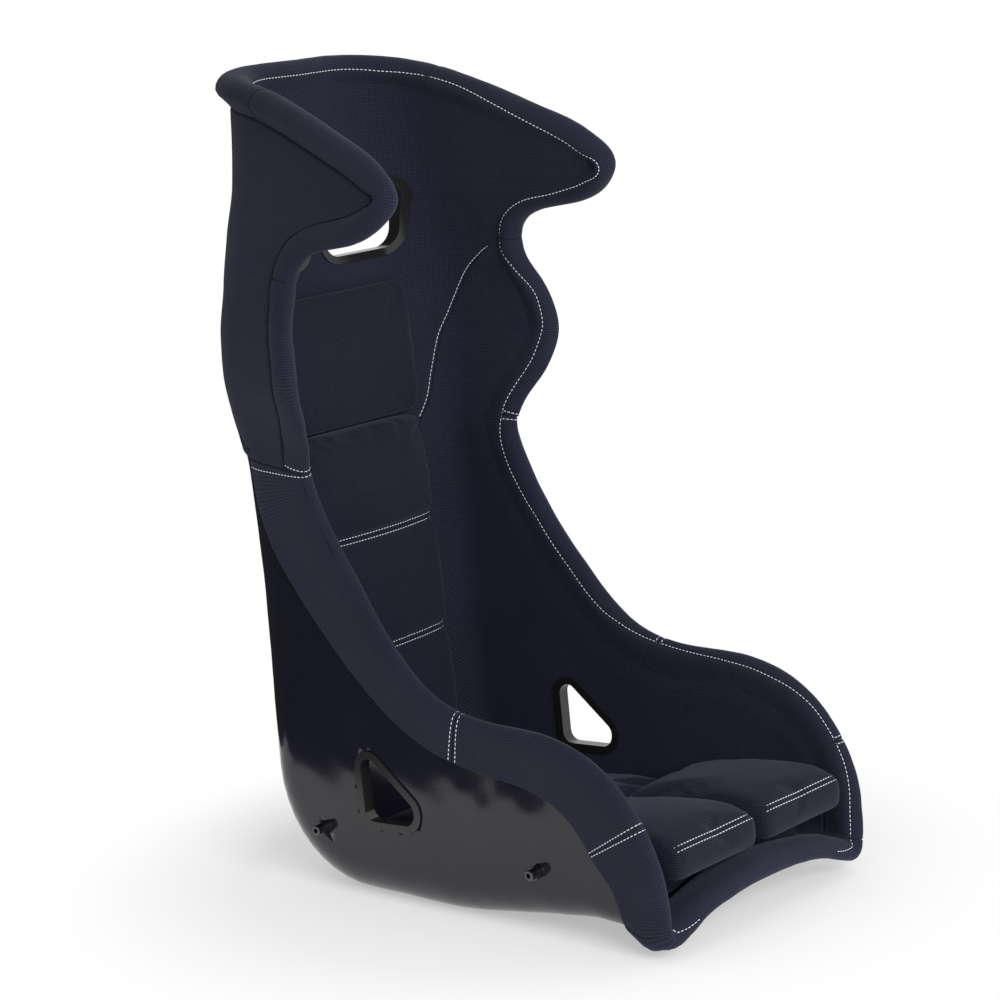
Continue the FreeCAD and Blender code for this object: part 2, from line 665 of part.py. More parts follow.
def hem_prism(rim, lengths, hem, last_length):
    """Everything that a hem of the padding encloses in the side view, from the temple downwards."""
    spots = hem_spots(rim, lengths[1:last_length], hem, (0, 1))
    slope = (spots[0] - spots[1]).normalize()
    spots.insert(0, spots[0] + slope * ((EDGE_LINE[0][0] - spots[0].y) / slope.y))
    corners = [Vector(0, spots[-1].y, BELOW), Vector(0, spots[0].y, BELOW)]
    if hem == REACH_OUT:
        spots[-1].z += LINING_GAP
        _, inward, _ = rim.frame(lengths[last_length - 1][2])
        rise = (spots[0].y - spots[-1].y) * inward.z / inward.y
        corners = [Vector(0, spots[0].y, spots[-1].z + rise)]
    corners = [spots[-1]] + corners + [spots[0]]
    lines = [Part.makeLine(a, b) for a, b in zip(corners, corners[1:])]
    return slab(Part.Face(Part.Wire([through(spots)] + lines)), -REACH, 2 * REACH)


def box_corners(y0, y1, z0, z1):
    """Corners of an upright rectangle in the side view."""
    return [(y0, z0), (y1, z0), (y1, z1), (y0, z1)]


def side_region(points):
    """Prism across the whole seat of a polygon in the side view."""
    corners = [Vector(0, y, z) for y, z in points]
    return slab(Part.Face(Part.makePolygon(corners + corners[:1])), -REACH, 2 * REACH)


def layer(near, far, region):
    """Sheet between two offsets of the outer face of the shell, within a region."""
    return tub(max(near, far)).common(region).cut(tub(min(near, far)))


def largest(shape):
    """The biggest solid of a shape, without the slivers of a cut."""
    return max(shape.Solids, key=lambda solid: solid.Volume)


def centre_strip(grow):
    """Region of the middle liners in the front view: between the side seams and above the notch."""
    seam = [Vector(x + grow, FORE, z) for x, z in BRANCH_SEAM]
    low = [Vector(BASE_HALF + grow, FORE, BELOW), Vector(BASE_HALF + grow, FORE, BACK_FOOT_Z), seam[0]]
    notch_z = seam[-1].z - grow
    seam[-1].z = notch_z
    high = [seam[-1], Vector(REACH, FORE, notch_z), Vector(REACH, FORE, TALL)]
    half = [Part.makeLine(a, b) for a, b in zip(low, low[1:])] + [through(seam)]
    half += [Part.makeLine(a, b) for a, b in zip(high, high[1:])]
    other = [edge.mirror(Vector(0, 0, 0), Vector(1, 0, 0)) for edge in half]
    half.append(Part.makeLine(high[-1], Vector(-REACH, FORE, TALL)))
    other.append(Part.makeLine(low[0], Vector(-low[0].x, FORE, BELOW)))
    edges = Part.__sortEdges__(half + other)
    return Part.Face(Part.Wire(edges)).extrude(Vector(0, AFT - FORE, 0))


def slot_liner(slot, flange):
    """Gloss slot liner: a tunnel through shell and lining with a flange on each face."""
    inner_face = -WALL - FIT - LINING
    tunnel = layer(inner_face - LIP_THICKNESS, LIP_THICKNESS, slot(SLOT_WALL - FIT))
    outer_lip = layer(FIT, LIP_THICKNESS, slot(flange))
    inner_lip = layer(inner_face - LIP_THICKNESS, inner_face - FIT, slot(flange))
    return largest(tunnel.fuse([outer_lip, inner_lip]).cut(slot(0.0)))


def turned(radius, length, start):
    """Cylinder along X from a start, outwards on the left side, centred on the axis."""
    return Part.makeCylinder(radius, length, Vector(start, 0, 0), Vector(1, 0, 0))


def hexagon(radius, start, length):
    """Hexagonal prism along X."""
    points = []
    for i in range(6):
        angle = math.radians(60 * i)
        points.append(Vector(start, radius * math.cos(angle), radius * math.sin(angle)))
    return Part.Face(Part.makePolygon(points + points[:1])).extrude(Vector(length, 0, 0))


def side_insert():
    """Threaded steel insert with its proud collar and its flange inside the laminate."""
    body = turned(COLLAR_RADIUS, COLLAR_LENGTH + WALL, -WALL)
    flange = turned(INSERT_FLANGE_RADIUS, INSERT_FLANGE, -WALL - INSERT_FLANGE)
    bore = turned(THREAD_RADIUS, 100, -50)
    return body.fuse(flange).cut(bore).removeSplitter()


def side_washer():
    """Washer between the collar and the bolt head."""
    ring = turned(WASHER_RADIUS, WASHER_THICKNESS, COLLAR_LENGTH)
    return ring.cut(turned(THREAD_RADIUS + FIT, WASHER_THICKNESS, COLLAR_LENGTH))


def side_bolt():
    """Socket head cap screw in an insert."""
    seat = COLLAR_LENGTH + WASHER_THICKNESS
    head = turned(BOLT_HEAD_RADIUS, BOLT_HEAD_HEIGHT, seat)
    face = [edge for edge in head.Edges if abs(edge.CenterOfMass.x - seat - BOLT_HEAD_HEIGHT) < 1e-6]
    head = head.makeChamfer(HEAD_CHAMFER, face)
    socket = hexagon(SOCKET_RADIUS, seat + BOLT_HEAD_HEIGHT - SOCKET_DEPTH, SOCKET_DEPTH)
    shank = turned(THREAD_RADIUS - THREAD_PLAY, BOLT_LENGTH, seat - BOLT_LENGTH)
    return head.cut(socket).fuse(shank).removeSplitter()


def at_fixings(shape):
    """Four copies of a left-hand piece, one at each side fixing, as a group of solids."""
    copies = []
    for y in (-BOLT_SPACING / 2, BOLT_SPACING / 2):
        copies += both_sides(shape.translated(Vector(wall_line_x(y, BOLT_Z), y, BOLT_Z)))
    return Part.makeCompound(copies)


def cushion_wire(half, depth, edge_share, tuck, origin, across, up):
    """Closed crowned section of a cushion: flat behind, drawn in at its sides, arched in front."""
    edge = depth * edge_share
    tuck = min(tuck, edge / 2)
    lap = CUSHION_LAP

    def at(x, z):
        return origin + across * x + up * z

    edges = [
        Part.makeLine(at(-half + tuck, 0), at(half - tuck, 0)),
        Part.Arc(at(half - tuck, 0), at(half, edge * 0.5), at(half - lap, edge)).toShape(),
        Part.Arc(at(half - lap, edge), at(0, depth), at(-half + lap, edge)).toShape(),
        Part.Arc(at(-half + lap, edge), at(-half, edge * 0.5), at(-half + tuck, 0)).toShape(),
    ]
    return Part.Wire(edges)


def swell(first, last, channels):
    """Places along a cushion with the shares of its full depth and width: soft ends and sewn channels."""
    depths, widths = {}, {}
    for end, way in ((first, 1), (last, -1)):
        for run, depth, width in CUSHION_END:
            depths[end + way * run] = depth
            widths[end + way * run] = width
    for middle in channels:
        for run, depth in CUSHION_CHANNEL:
            depths[middle - run] = depth
            depths[middle + run] = depth
    stops = sorted([first] + list(channels) + [last])
    for a, b in zip(stops, stops[1:]):
        depths[(a + b) / 2] = CUSHION_CROWN
    count = round((last - first) / CUSHION_STEP)
    places = [first + (last - first) * step / count for step in range(count + 1)]
    depths, widths = sorted(depths.items()), sorted(widths.items())
    return [(spot, blend(depths, spot), blend(widths, spot)) for spot in places]


def back_cushion(z_range, half, depth, edge_share, tuck, channels, stand_off):
    """Cushion on the back liner, lofted up the back."""
    lean = math.radians(BACK_LEAN)
    wires = []
    for z, share, width in swell(z_range[0], z_range[1], channels):
        y = back_y(z) - (WALL + FIT + LINING + stand_off) / math.cos(lean)
        origin = Vector(0, y, z)
        wires.append(cushion_wire(half - (1 - width) * depth, depth * share, edge_share, tuck, origin,
                                  Vector(1, 0, 0), Vector(0, -1, 0)))
    return Part.makeLoft(wires, True, False, False, LOFT_DEGREE)


def base_cushion(y_range, x_range, depth, channels, stand_off):
    """Cushion on the base foam, lofted along the pan."""
    middle = (x_range[0] + x_range[1]) / 2
    half = (x_range[1] - x_range[0]) / 2
    wires = []
    for y, share, width in swell(y_range[0], y_range[1], channels):
        origin = Vector(middle, y, blend(BASE_TOP, y) + stand_off)
        drawn_in = (1 - width) * depth / 2
        wires.append(cushion_wire(half - drawn_in, depth * share, SEAT_EDGE, CUSHION_TUCK, origin,
                                  Vector(1, 0, 0), Vector(0, 0, 1)))
    return Part.makeLoft(wires, True, False, False, LOFT_DEGREE)


def base_foam():
    """Foam block with its fabric on the pan, from the front lip to the foot of the back."""
    front = FRONT_Y + RIM_LENGTHS[-1][1][1] + LINING_GAP
    count = round((BASE_REAR_Y - front) / BASE_STEP)
    places = [BASE_REAR_Y + (front - BASE_REAR_Y) * i / count for i in range(count + 1)]
    top = [Vector(0, y, blend(BASE_TOP, y)) for y in places]
    corners = [top[-1], Vector(0, front, BELOW), Vector(0, BASE_REAR_Y, BELOW), top[0]]
    lines = [Part.makeLine(a, b) for a, b in zip(corners, corners[1:])]
    block = slab(Part.Face(Part.Wire([through(top)] + lines)), -BASE_HALF, 2 * BASE_HALF)
    return block.common(tub(-WALL - FIT))


def back_tapes():
    """Two strips of hook tape between the back liner and the lumbar cushion."""
    lean = math.radians(BACK_LEAN)
    low, high = LUMBAR_Z[0] + TAPE_INSET, LUMBAR_Z[1] - TAPE_INSET
    face = (WALL + FIT + LINING + TAPE_PLAY) / math.cos(lean)
    points = [(back_y(low) - face, low), (back_y(high) - face, high),
              (back_y(high) - face - TAPE, high), (back_y(low) - face - TAPE, low)]
    corners = [Vector(0, y, z) for y, z in points]
    strip = Part.Face(Part.makePolygon(corners + corners[:1]))
    return Part.makeCompound(both_sides(slab(strip, TAPE_X, TAPE_WIDTH)))


def base_tapes(y_range):
    """Two strips of hook tape between the base foam and what lies on it."""
    first, last = y_range[0] + TAPE_INSET, y_range[1] - TAPE_INSET
    count = round((last - first) / BASE_STEP)
    steps = [first + (last - first) * i / count for i in range(count + 1)]
    under = through([Vector(0, y, blend(BASE_TOP, y) + TAPE_PLAY) for y in steps])
    over = through([Vector(0, y, blend(BASE_TOP, y) + TAPE_PLAY + TAPE) for y in reversed(steps)])
    ends = [Part.makeLine(under.valueAt(under.LastParameter), over.valueAt(over.FirstParameter)),
            Part.makeLine(over.valueAt(over.LastParameter), under.valueAt(under.FirstParameter))]
    strip = Part.Face(Part.Wire([under, ends[0], over, ends[1]]))
    return Part.makeCompound(both_sides(slab(strip, TAPE_X, TAPE_WIDTH)))


def main():
    """Build every piece and write it as its own file."""
    os.makedirs("parts", exist_ok=True)
    above_floor = Part.makeBox(2 * REACH, AFT - FORE, TALL, Vector(-REACH, FORE, 0))
    left_half = Part.makeBox(REACH, AFT - FORE, TALL - BELOW, Vector(0, FORE, BELOW))
    inserts = at_fixings(side_insert())
    insert_holes = at_fixings(turned(COLLAR_RADIUS + FIT, 2 * WALL + 1, -WALL - 1))
    pocket = turned(INSERT_FLANGE_RADIUS + FIT, LINING - POCKET_FLOOR, POCKET_FLOOR - WALL - LINING)
    pockets = at_fixings(pocket)

    shell = layer(0.0, -WALL, side_prism()).common(above_floor)
    shell = shell.cut(slot_tools(SLOT_WALL) + insert_holes.Solids)
    save("shell", largest(shell))

    rim = Rim()
    lengths = rim_lengths(rim)
    core = layer(FIT, -WALL - FIT, side_prism(FIT))
    for length in lengths:
        piece = rim_piece(rim, core, length)
        if length[0] in ("halo_roll", "front_lip"):
            save(length[0], piece.fuse(mirrored(piece)).removeSplitter())
        else:
            save(length[0] + "_left", piece)
            save(length[0] + "_right", mirrored(piece))

    region = hem_prism(rim, lengths, REACH_IN, LINED).common(top_prism(rim, lengths, REACH_IN))
    lining = layer(-WALL - FIT, -WALL - FIT - LINING, region)
    lining = lining.cut(slot_tools(SLOT_WALL) + pockets.Solids)
    middle = lining.common(centre_strip(0.0))
    foot_z = HEAD_SEAM_Z - LINING_GAP
    save("head_liner", largest(middle.common(side_region(box_corners(FORE, AFT, HEAD_SEAM_Z, TALL)))))
    save("back_liner", largest(middle.common(side_region(box_corners(BASE_REAR_Y, AFT, BELOW, foot_z)))))
    walls = lining.cut(centre_strip(LINING_GAP))
    left = largest(walls.common(left_half))
    save("side_liner_left", left)
    save("side_liner_right", mirrored(left))
    save("base_foam", largest(base_foam().cut(slot_tools(SLOT_WALL))))

    region = hem_prism(rim, lengths, REACH_OUT, COVERED).common(top_prism(rim, lengths, REACH_OUT))
    cover = layer(FIT, FIT + COVER, region)
    low_y, high_y = back_y(COVER_FOOT_Z) - COVER_BACK, back_y(TALL) - COVER_BACK
    rear = [(FORE, COVER_FOOT_Z), (low_y, COVER_FOOT_Z), (high_y, TALL), (FORE, TALL)]
    cover = cover.common(side_region(rear)).cut(slot_tools(SLOT_WALL + LIP))
    cover = largest(cover.common(left_half))
    save("outer_cover_left", cover)
    save("outer_cover_right", mirrored(cover))

    shoulder = slot_liner(lambda grow: shoulder_prism(grow, *SHOULDER_CUT_Y), SLOT_WALL + LIP)
    lap = slot_liner(lambda grow: lap_prism(grow, *LAP_CUT_X), SLOT_WALL + LIP)
    for name, piece in (("shoulder_slot_liner", shoulder), ("lap_slot_liner", lap)):
        save(name + "_left", piece)
        save(name + "_right", mirrored(piece))
    ring_top = blend(BASE_TOP, CROTCH_SLOT_Y[1]) + CUSHION_GAP / 2
    ring = crotch_prism(SLOT_WALL - FIT, CROTCH_LINER_FOOT, ring_top)
    save("crotch_slot_liner", ring.cut(crotch_prism(0.0, *CROTCH_CUT_Z)))

    save("side_inserts", inserts)
    save("side_washers", at_fixings(side_washer()))
    save("side_bolts", at_fixings(side_bolt()))

    save("lumbar_cushion", back_cushion(LUMBAR_Z, LUMBAR_HALF, LUMBAR_THICK, LUMBAR_EDGE, CUSHION_TUCK,
                                        LUMBAR_CHANNELS, CUSHION_GAP))
    save("upper_back_pad", back_cushion(BACK_PAD_Z, BACK_PAD_HALF, BACK_PAD_THICK, BACK_PAD_EDGE, BACK_PAD_TUCK,
                                        (), BACK_PAD_GAP))
    half = SEAT_CUSHION_HALF
    save("seat_cushion", base_cushion(SEAT_CUSHION_Y, (-half, half), SEAT_CUSHION_THICK, (), CUSHION_GAP))
    pad = base_cushion(THIGH_PAD_Y, THIGH_PAD_X, THIGH_PAD_THICK, (), CUSHION_GAP)
    save("thigh_pad_left", pad)
    save("thigh_pad_right", mirrored(pad))
    save("lumbar_tapes", back_tapes())
    save("seat_tapes", base_tapes(SEAT_CUSHION_Y))
    save("thigh_pad_tapes", base_tapes((FRONT_Y + RIM_LENGTHS[-1][1][1], THIGH_PAD_Y[1])))


main()
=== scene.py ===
"""Looks of a fixed-back racing seat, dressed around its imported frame.

The shape functions work in millimetres, with the same named sizes as the part's source.
Meshes are made in metres.
X runs to the sitter's left, Y from the front to the back, Z up.
"""

import bpy
import bmesh
import math
import numpy as np
from mathutils import Matrix, Vector
from mathutils.bvhtree import BVHTree


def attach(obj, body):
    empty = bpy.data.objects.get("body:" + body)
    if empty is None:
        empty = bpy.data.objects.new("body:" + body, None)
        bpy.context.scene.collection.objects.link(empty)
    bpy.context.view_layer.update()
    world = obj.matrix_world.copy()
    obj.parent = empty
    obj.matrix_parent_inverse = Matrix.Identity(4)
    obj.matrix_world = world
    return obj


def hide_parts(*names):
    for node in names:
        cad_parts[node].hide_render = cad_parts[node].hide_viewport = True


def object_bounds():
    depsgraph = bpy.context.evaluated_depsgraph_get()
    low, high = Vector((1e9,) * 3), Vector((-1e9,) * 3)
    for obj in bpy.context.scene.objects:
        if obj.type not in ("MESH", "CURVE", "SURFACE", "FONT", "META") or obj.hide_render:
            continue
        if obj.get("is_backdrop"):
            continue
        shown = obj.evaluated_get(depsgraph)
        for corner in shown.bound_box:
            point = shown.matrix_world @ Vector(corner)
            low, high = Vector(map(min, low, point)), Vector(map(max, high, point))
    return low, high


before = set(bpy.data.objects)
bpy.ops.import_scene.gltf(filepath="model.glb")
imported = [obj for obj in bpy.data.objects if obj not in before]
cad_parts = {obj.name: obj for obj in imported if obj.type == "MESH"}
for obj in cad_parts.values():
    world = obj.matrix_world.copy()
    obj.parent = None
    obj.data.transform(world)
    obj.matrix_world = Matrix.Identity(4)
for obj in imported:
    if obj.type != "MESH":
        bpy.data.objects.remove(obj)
CAD_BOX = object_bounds()
MM = 0.001


def unit(vectors):
    """Vectors of length one."""
    return vectors / np.maximum(np.linalg.norm(vectors, axis=-1, keepdims=True), 1e-9)


def rise(places, first, last):
    """Soft step from 0 to 1 between two places."""
    share = np.clip((places - first) / (last - first), 0, 1)
    return share * share * (3 - 2 * share)


def bell(places, middle, width):
    """Soft bump of height 1 about a place."""
    return np.exp(-((places - middle) / width) ** 2)


def lengths(points):
    """Distances along a line of points."""
    return np.concatenate([[0.0], np.cumsum(np.linalg.norm(np.diff(points, axis=0), axis=1))])


def on_line(places, along, points):
    """Points of a line at distances along it."""
    return np.stack([np.interp(places, along, points[:, k]) for k in range(points.shape[1])], -1)


# Shell and spine, the same values as in the part's source
WALL = 5.0
SEAT_SINK = 0.8
FLAT_REAR = 130.0
HIP_RADIUS = 142.0
BACK_LEAN = math.radians(4.75)
FRONT_Y = -356.0
PIVOT_Y = -20.0
PIVOT_Z = 420.0
HIP_SPAN = 300.0
PAN_LINE = ((-420.0, -4.0), (-356.0, 20.0), (-310.0, 30.0), (-256.0, 31.0), (-188.0, 23.0),
            (-125.0, 14.0), (-62.0, 4.5), (-20.0, 0.0))
# Cross-sections: station, half width at the floor, wall lean, corner radius, crown of the floor
SECTIONS = (
    (-400.0, 204.0, 0.045, 24.0, 25.0),
    (-336.0, 204.0, 0.045, 24.0, 25.0),
    (-180.0, 203.0, 0.030, 40.0, 8.0),
    (0.0, 202.0, 0.015, 50.0, 0.4),
    (150.0, 201.0, 0.010, 60.0, 0.4),
    (300.0, 196.0, 0.020, 70.0, 0.4),
    (395.0, 196.0, 0.045, 74.0, 0.4),
    (440.0, 198.0, 0.100, 78.0, 0.4),
    (480.0, 201.0, 0.215, 82.0, 0.4),
    (533.0, 204.0, 0.300, 86.0, 0.4),
    (580.0, 203.0, 0.270, 90.0, 0.4),
    (640.0, 195.0, 0.180, 95.0, 0.4),
    (700.0, 180.0, 0.180, 100.0, 0.4),
    (760.0, 164.0, 0.145, 104.0, 0.4),
    (826.0, 153.0, 0.145, 104.0, 0.4),
    (890.0, 147.0, 0.130, 102.0, 0.4),
    (980.0, 143.0, 0.120, 100.0, 0.4),
)
EDGE_LINE = (
    (440.0, 1024.0), (330.0, 1013.0), (213.0, 990.0), (88.0, 943.0),
    (8.0, 901.0), (-8.0, 878.0), (6.0, 856.0),
    (82.0, 826.0), (147.0, 799.0), (158.0, 770.0), (147.0, 717.0),
    (133.0, 645.0), (145.0, 588.0), (166.0, 537.0), (150.0, 482.0),
    (64.0, 351.0), (-28.0, 268.0), (-118.0, 251.0), (-205.0, 246.0),
    (-280.0, 214.0), (-327.0, 161.0), (-351.0, 100.0), (FRONT_Y, 58.0),
)


def blend(table, places):
    """Values at places of the smooth curve through (place, value) pairs, without overshoot."""
    xs, ys = np.array(table, float).T
    rises = np.diff(ys) / np.diff(xs)
    before, after = rises[:-1], rises[1:]
    turns = before * after <= 0
    middle = np.where(turns, 0.0, 2 * before * after / np.where(turns, 1.0, before + after))
    slopes = np.concatenate([rises[:1], middle, rises[-1:]])
    places = np.clip(places, xs[0], xs[-1])
    i = np.clip(np.searchsorted(xs, places, side="right") - 1, 0, len(xs) - 2)
    width = xs[i + 1] - xs[i]
    t = (places - xs[i]) / width
    start = ys[i] * (1 + 2 * t) * (1 - t) ** 2 + slopes[i] * width * t * (1 - t) ** 2
    end = ys[i + 1] * t * t * (3 - 2 * t) + slopes[i + 1] * width * t * t * (t - 1)
    return start + end


def column(number):
    """Pairs of station and one value of the cross-sections."""
    return [(row[0], row[number]) for row in SECTIONS]


def pan_z(y):
    """Height of the spine along the pan."""
    return blend(PAN_LINE, y) - SEAT_SINK


def back_y(z):
    """Y of the spine up the back."""
    return FLAT_REAR + HIP_RADIUS / math.cos(BACK_LEAN) + math.tan(BACK_LEAN) * (z - HIP_RADIUS)


def hip_reach(angle):
    """Distance of the spine from the pivot of the fan of stations through the hip bend."""
    side, drop = np.sin(angle), np.cos(angle)
    flat = (PIVOT_Z + SEAT_SINK) / np.maximum(drop, 1e-9)
    back = (back_y(PIVOT_Z) - PIVOT_Y) / (side + math.tan(BACK_LEAN) * drop)
    across, down = FLAT_REAR - PIVOT_Y, PIVOT_Z + SEAT_SINK - HIP_RADIUS
    along = across * side + down * drop
    bend = along + np.sqrt(np.maximum(along ** 2 - across ** 2 - down ** 2 + HIP_RADIUS ** 2, 0))
    on_back = PIVOT_Z - back * drop >= HIP_RADIUS * (1 - math.sin(BACK_LEAN))
    return np.where(PIVOT_Y + flat * side <= FLAT_REAR, flat, np.where(on_back, back, bend))


def spine(station):
    """Spine points (y, z) of stations and the directions (y, z) from them into the seat."""
    station = np.asarray(station, float)
    angle = math.pi / 2 * np.clip(station / HIP_SPAN, 0, 1)
    ray = hip_reach(angle)
    y = PIVOT_Y + ray * np.sin(angle)
    z = PIVOT_Z - ray * np.cos(angle)
    dy, dz = -np.sin(angle), np.cos(angle)
    pan, back = station <= 0, station >= HIP_SPAN
    high = PIVOT_Z + station - HIP_SPAN
    y = np.where(pan, PIVOT_Y + station, np.where(back, back_y(high), y))
    z = np.where(pan, pan_z(PIVOT_Y + station), np.where(back, high, z))
    return y, z, np.where(pan, 0.0, np.where(back, -1.0, dy)), np.where(pan, 1.0, np.where(back, 0.0, dz))


def locate(y, z):
    """Stations of points in the side view and their heights above the spine."""
    angle = np.arctan2(y - PIVOT_Y, PIVOT_Z - z)
    fan = HIP_SPAN * angle / (math.pi / 2)
    above = hip_reach(np.clip(angle, 0, math.pi / 2)) - np.hypot(y - PIVOT_Y, PIVOT_Z - z)
    back, pan = z >= PIVOT_Z, (z < PIVOT_Z) & (y <= PIVOT_Y)
    station = np.where(back, HIP_SPAN + z - PIVOT_Z, np.where(pan, y - PIVOT_Y, fan))
    return station, np.where(back, back_y(z) - y, np.where(pan, z - pan_z(y), above))


def corner(station):
    """Sizes of cross-sections: X of the wall at the floor and of the corner's start, lean, radius, crown."""
    lean = np.arctan(blend(column(2), station))
    radius = blend(column(3), station)
    wall_x = blend(column(1), station)
    foot_x = wall_x - radius * np.tan((math.pi / 2 - lean) / 2)
    return wall_x, foot_x, lean, radius, blend(column(4), station)


def outside(points):
    """Distances of points beyond the outer face of the shell, negative within it."""
    station, height = locate(points[..., 1], points[..., 2])
    wall_x, foot_x, lean, radius, crown = corner(station)
    x = np.abs(points[..., 0])
    across, up = x - foot_x, height - radius
    wall = (x - wall_x - height * np.tan(lean)) * np.cos(lean)
    floor = crown * (1 - (x / foot_x) ** 2) - height
    bend = np.hypot(across, up) - radius
    on_wall = (across > 0) & (across * np.sin(lean) + up * np.cos(lean) >= 0)
    return np.where(on_wall, wall, np.where(across <= 0, floor, bend))


def outward(points):
    """Directions out of the shell at points near its outer face."""
    moves = 0.5 * np.eye(3)
    return unit(np.stack([outside(points + move) - outside(points - move) for move in moves], -1))


def settle(points, directions, distances):
    """Points moved along directions to distances from the outer face."""
    for _ in range(8):
        points = points + directions * (distances - outside(points))[..., None]
    return points


def wall_run(section, height):
    """Run across a section at a height on its wall, and the height at which the wall starts."""
    _, foot_x, lean, radius, _ = section
    top = radius * (1 - np.sin(lean))
    return foot_x + radius * (math.pi / 2 - lean) + (height - top) / np.cos(lean), top


def skin(station, run, offset=0.0):
    """Points of an offset of the outer face: stations, runs across the section from its middle, offsets."""
    station, run, offset = np.broadcast_arrays(station, run, offset)
    wall_x, foot_x, lean, radius, crown = corner(station)
    turn = math.pi / 2 - lean
    far = np.abs(run)
    angle = np.clip((far - foot_x) / radius, 0, turn)
    beyond = np.maximum(far - foot_x - radius * turn, 0)
    x = np.minimum(far, foot_x) + (radius + offset) * np.sin(angle) + beyond * np.sin(lean)
    height = radius - (radius + offset) * np.cos(angle) + beyond * np.cos(lean)
    height = height + crown * (1 - np.minimum(far / foot_x, 1) ** 2)
    y, z, dy, dz = spine(station)
    return np.stack([np.sign(run) * x, y + height * dy, z + height * dz], -1)


def run_of(station, height):
    """Run across the section at which its outer face reaches a height above the spine."""
    section = corner(station)
    _, foot_x, _, radius, _ = section
    on_wall, top = wall_run(section, height)
    run = np.where(height >= top, on_wall, foot_x + radius * np.arccos(np.clip(1 - height / radius, -1, 1)))
    return np.where(height <= 0, 0.0, run)


# Padding of the edge, liners and covers
FIT = 0.3                 # gap between pieces that lie on each other
RIM_INNER = 13.0          # thickness of the padding inside and outside the shell
RIM_OUTER = 5.0
RIM_CAP = 7.0             # its thickness past the edge
RIM_ROUND = 12.0          # depth behind the edge over which it rounds
RIM_HEM_INNER = 6.0       # its thickness at its hems
RIM_HEM_OUTER = 2.2
RIM_THICKEST = 20.0       # above this thickness inside, the hem stands up by a share of the rest
HEM_SHARE = 0.9
HEM_SINK = 1.0            # how far the padding's hem sinks into the liners
HEM_UNDER = 12.0          # how far the liners run in under that hem
HEM_RISE = 3.0            # how far both stand up there
HEM_BLEND = 26.0          # width over which the liners sink back from it
SEAM_GAP = 0.4            # gap between two sewn pieces
# Seams across the padding in the side view
SEAM_UPPER = (166.0, 537.0)
SEAM_HIP = (-62.0, 258.0)
SEAM_KNEE = (-327.0, 161.0)
SEAM_NOTCH = (157.0, 775.0)
SEAM_TEMPLE = (232.0, 994.0)
# Lengths of padding: reach of the inner hem, reach of the outer hem, thickness inside and thickness outside
RIM_LENGTHS = (
    ("halo_roll", (34.0, 30.0), (38.0, 32.0), (20.0, 20.0), (22.0, 20.0)),
    ("wing_roll", (30.0, 30.0), (32.0, 26.0), (20.0, 17.0), (20.0, 6.0)),
    ("shoulder_roll", (30.0, 48.0), (26.0, 30.0), (17.0, RIM_INNER), (6.0, RIM_OUTER)),
    ("torso_roll", (48.0, 50.0), (98.0, 58.0), (RIM_INNER, RIM_INNER), (RIM_OUTER, RIM_OUTER)),
    ("thigh_roll", (50.0, 48.0), (58.0, 84.0), (RIM_INNER, RIM_INNER), (RIM_OUTER, RIM_OUTER)),
    ("front_roll", (48.0, 44.0), (84.0, 60.0), (RIM_INNER, 15.0), (RIM_OUTER, RIM_OUTER)),
    ("front_lip", (44.0, 56.0), (60.0, 30.0), (15.0, 28.0), (RIM_OUTER, RIM_OUTER)),
)
RIM_FOOT_Z = 40.0
WING_TIP = (-8.0, 878.0)
TIP_PINCH = 13.0          # how much less the hems reach round the tip of the wing, and over which length
TIP_SPAN = 30.0
LINING = 6.0
COVER = 3.5
COVER_BACK = 26.0         # height above the spine at which the outer covers end

SPACING = 6.0             # spacing of the grids of the fabric panels
BORDER = (0.0, 0.35, 0.9, 1.7, 2.8, 4.2, 5.8, 8.0, 11.0)   # grid lines beside a border
SEAM_DEPTH = 2.6          # how far a panel dips into its seam
SEAM_ROUND = 3.6          # width of that dip
STITCH_INSET = 4.2        # distance of a line of stitches from the border
STITCH_LINE = BORDER.index(STITCH_INSET)
STITCH_PULL = 0.55        # depth of the groove that the stitches pull

# Seam along the padding: distance along the edge and depth behind the edge
SEAM_PLACES = ((0, 15.0), (145, 13.2), (221, 5.1), (271, 3.5), (339, 8.4), (402, 14.5), (471, 17.5),
               (536, 20.0), (580, 20.5), (640, 16.5), (685, 19.5), (714, 24.0), (726, 22.0), (750, 11.3),
               (789, 5.8), (830, 9.3), (873, 13.8), (935, 12.0), (985, 12.5), (1017, 16.5), (1045, 17.8),
               (1085, 16.0), (1133, 12.3), (1226, 12.0), (1267, 10.1), (1300, 4.5), (1337, 0.8),
               (1373, -0.5), (1428, 1.7), (1491, 5.0), (1527, 5.0), (1575, 1.6), (1615, -0.7), (1686, -1.1),
               (1720, 0.9), (1758, 3.8), (1790, 4.0), (1850, -4.0), (1885, -6.0), (2010, -6.0))
SEAM_END = (1840.0, 1882.0)       # places between which the seam and its stitches run out on the front lip
SEAM_INSETS = (-8.0, -5.5, -3.9, -2.9, -2.0, -1.3, -0.7, -0.3, 0.0, 0.3, 0.8, 1.6, 2.8, 4.5, 7.0)
SEAM_STITCH = SEAM_INSETS.index(-2.0)      # grid line of the stitches beside the seam
OUTER_LINES = 12          # grid lines between the outer hem and the seam
INNER_LINES = 9           # grid lines between the seam and the inner hem
DITCH_DEPTH = 1.7         # ditch along the seam
DITCH_WIDTH = 1.5
SEAM_ROOM = 9.0           # least distance of the seam from the inner hem


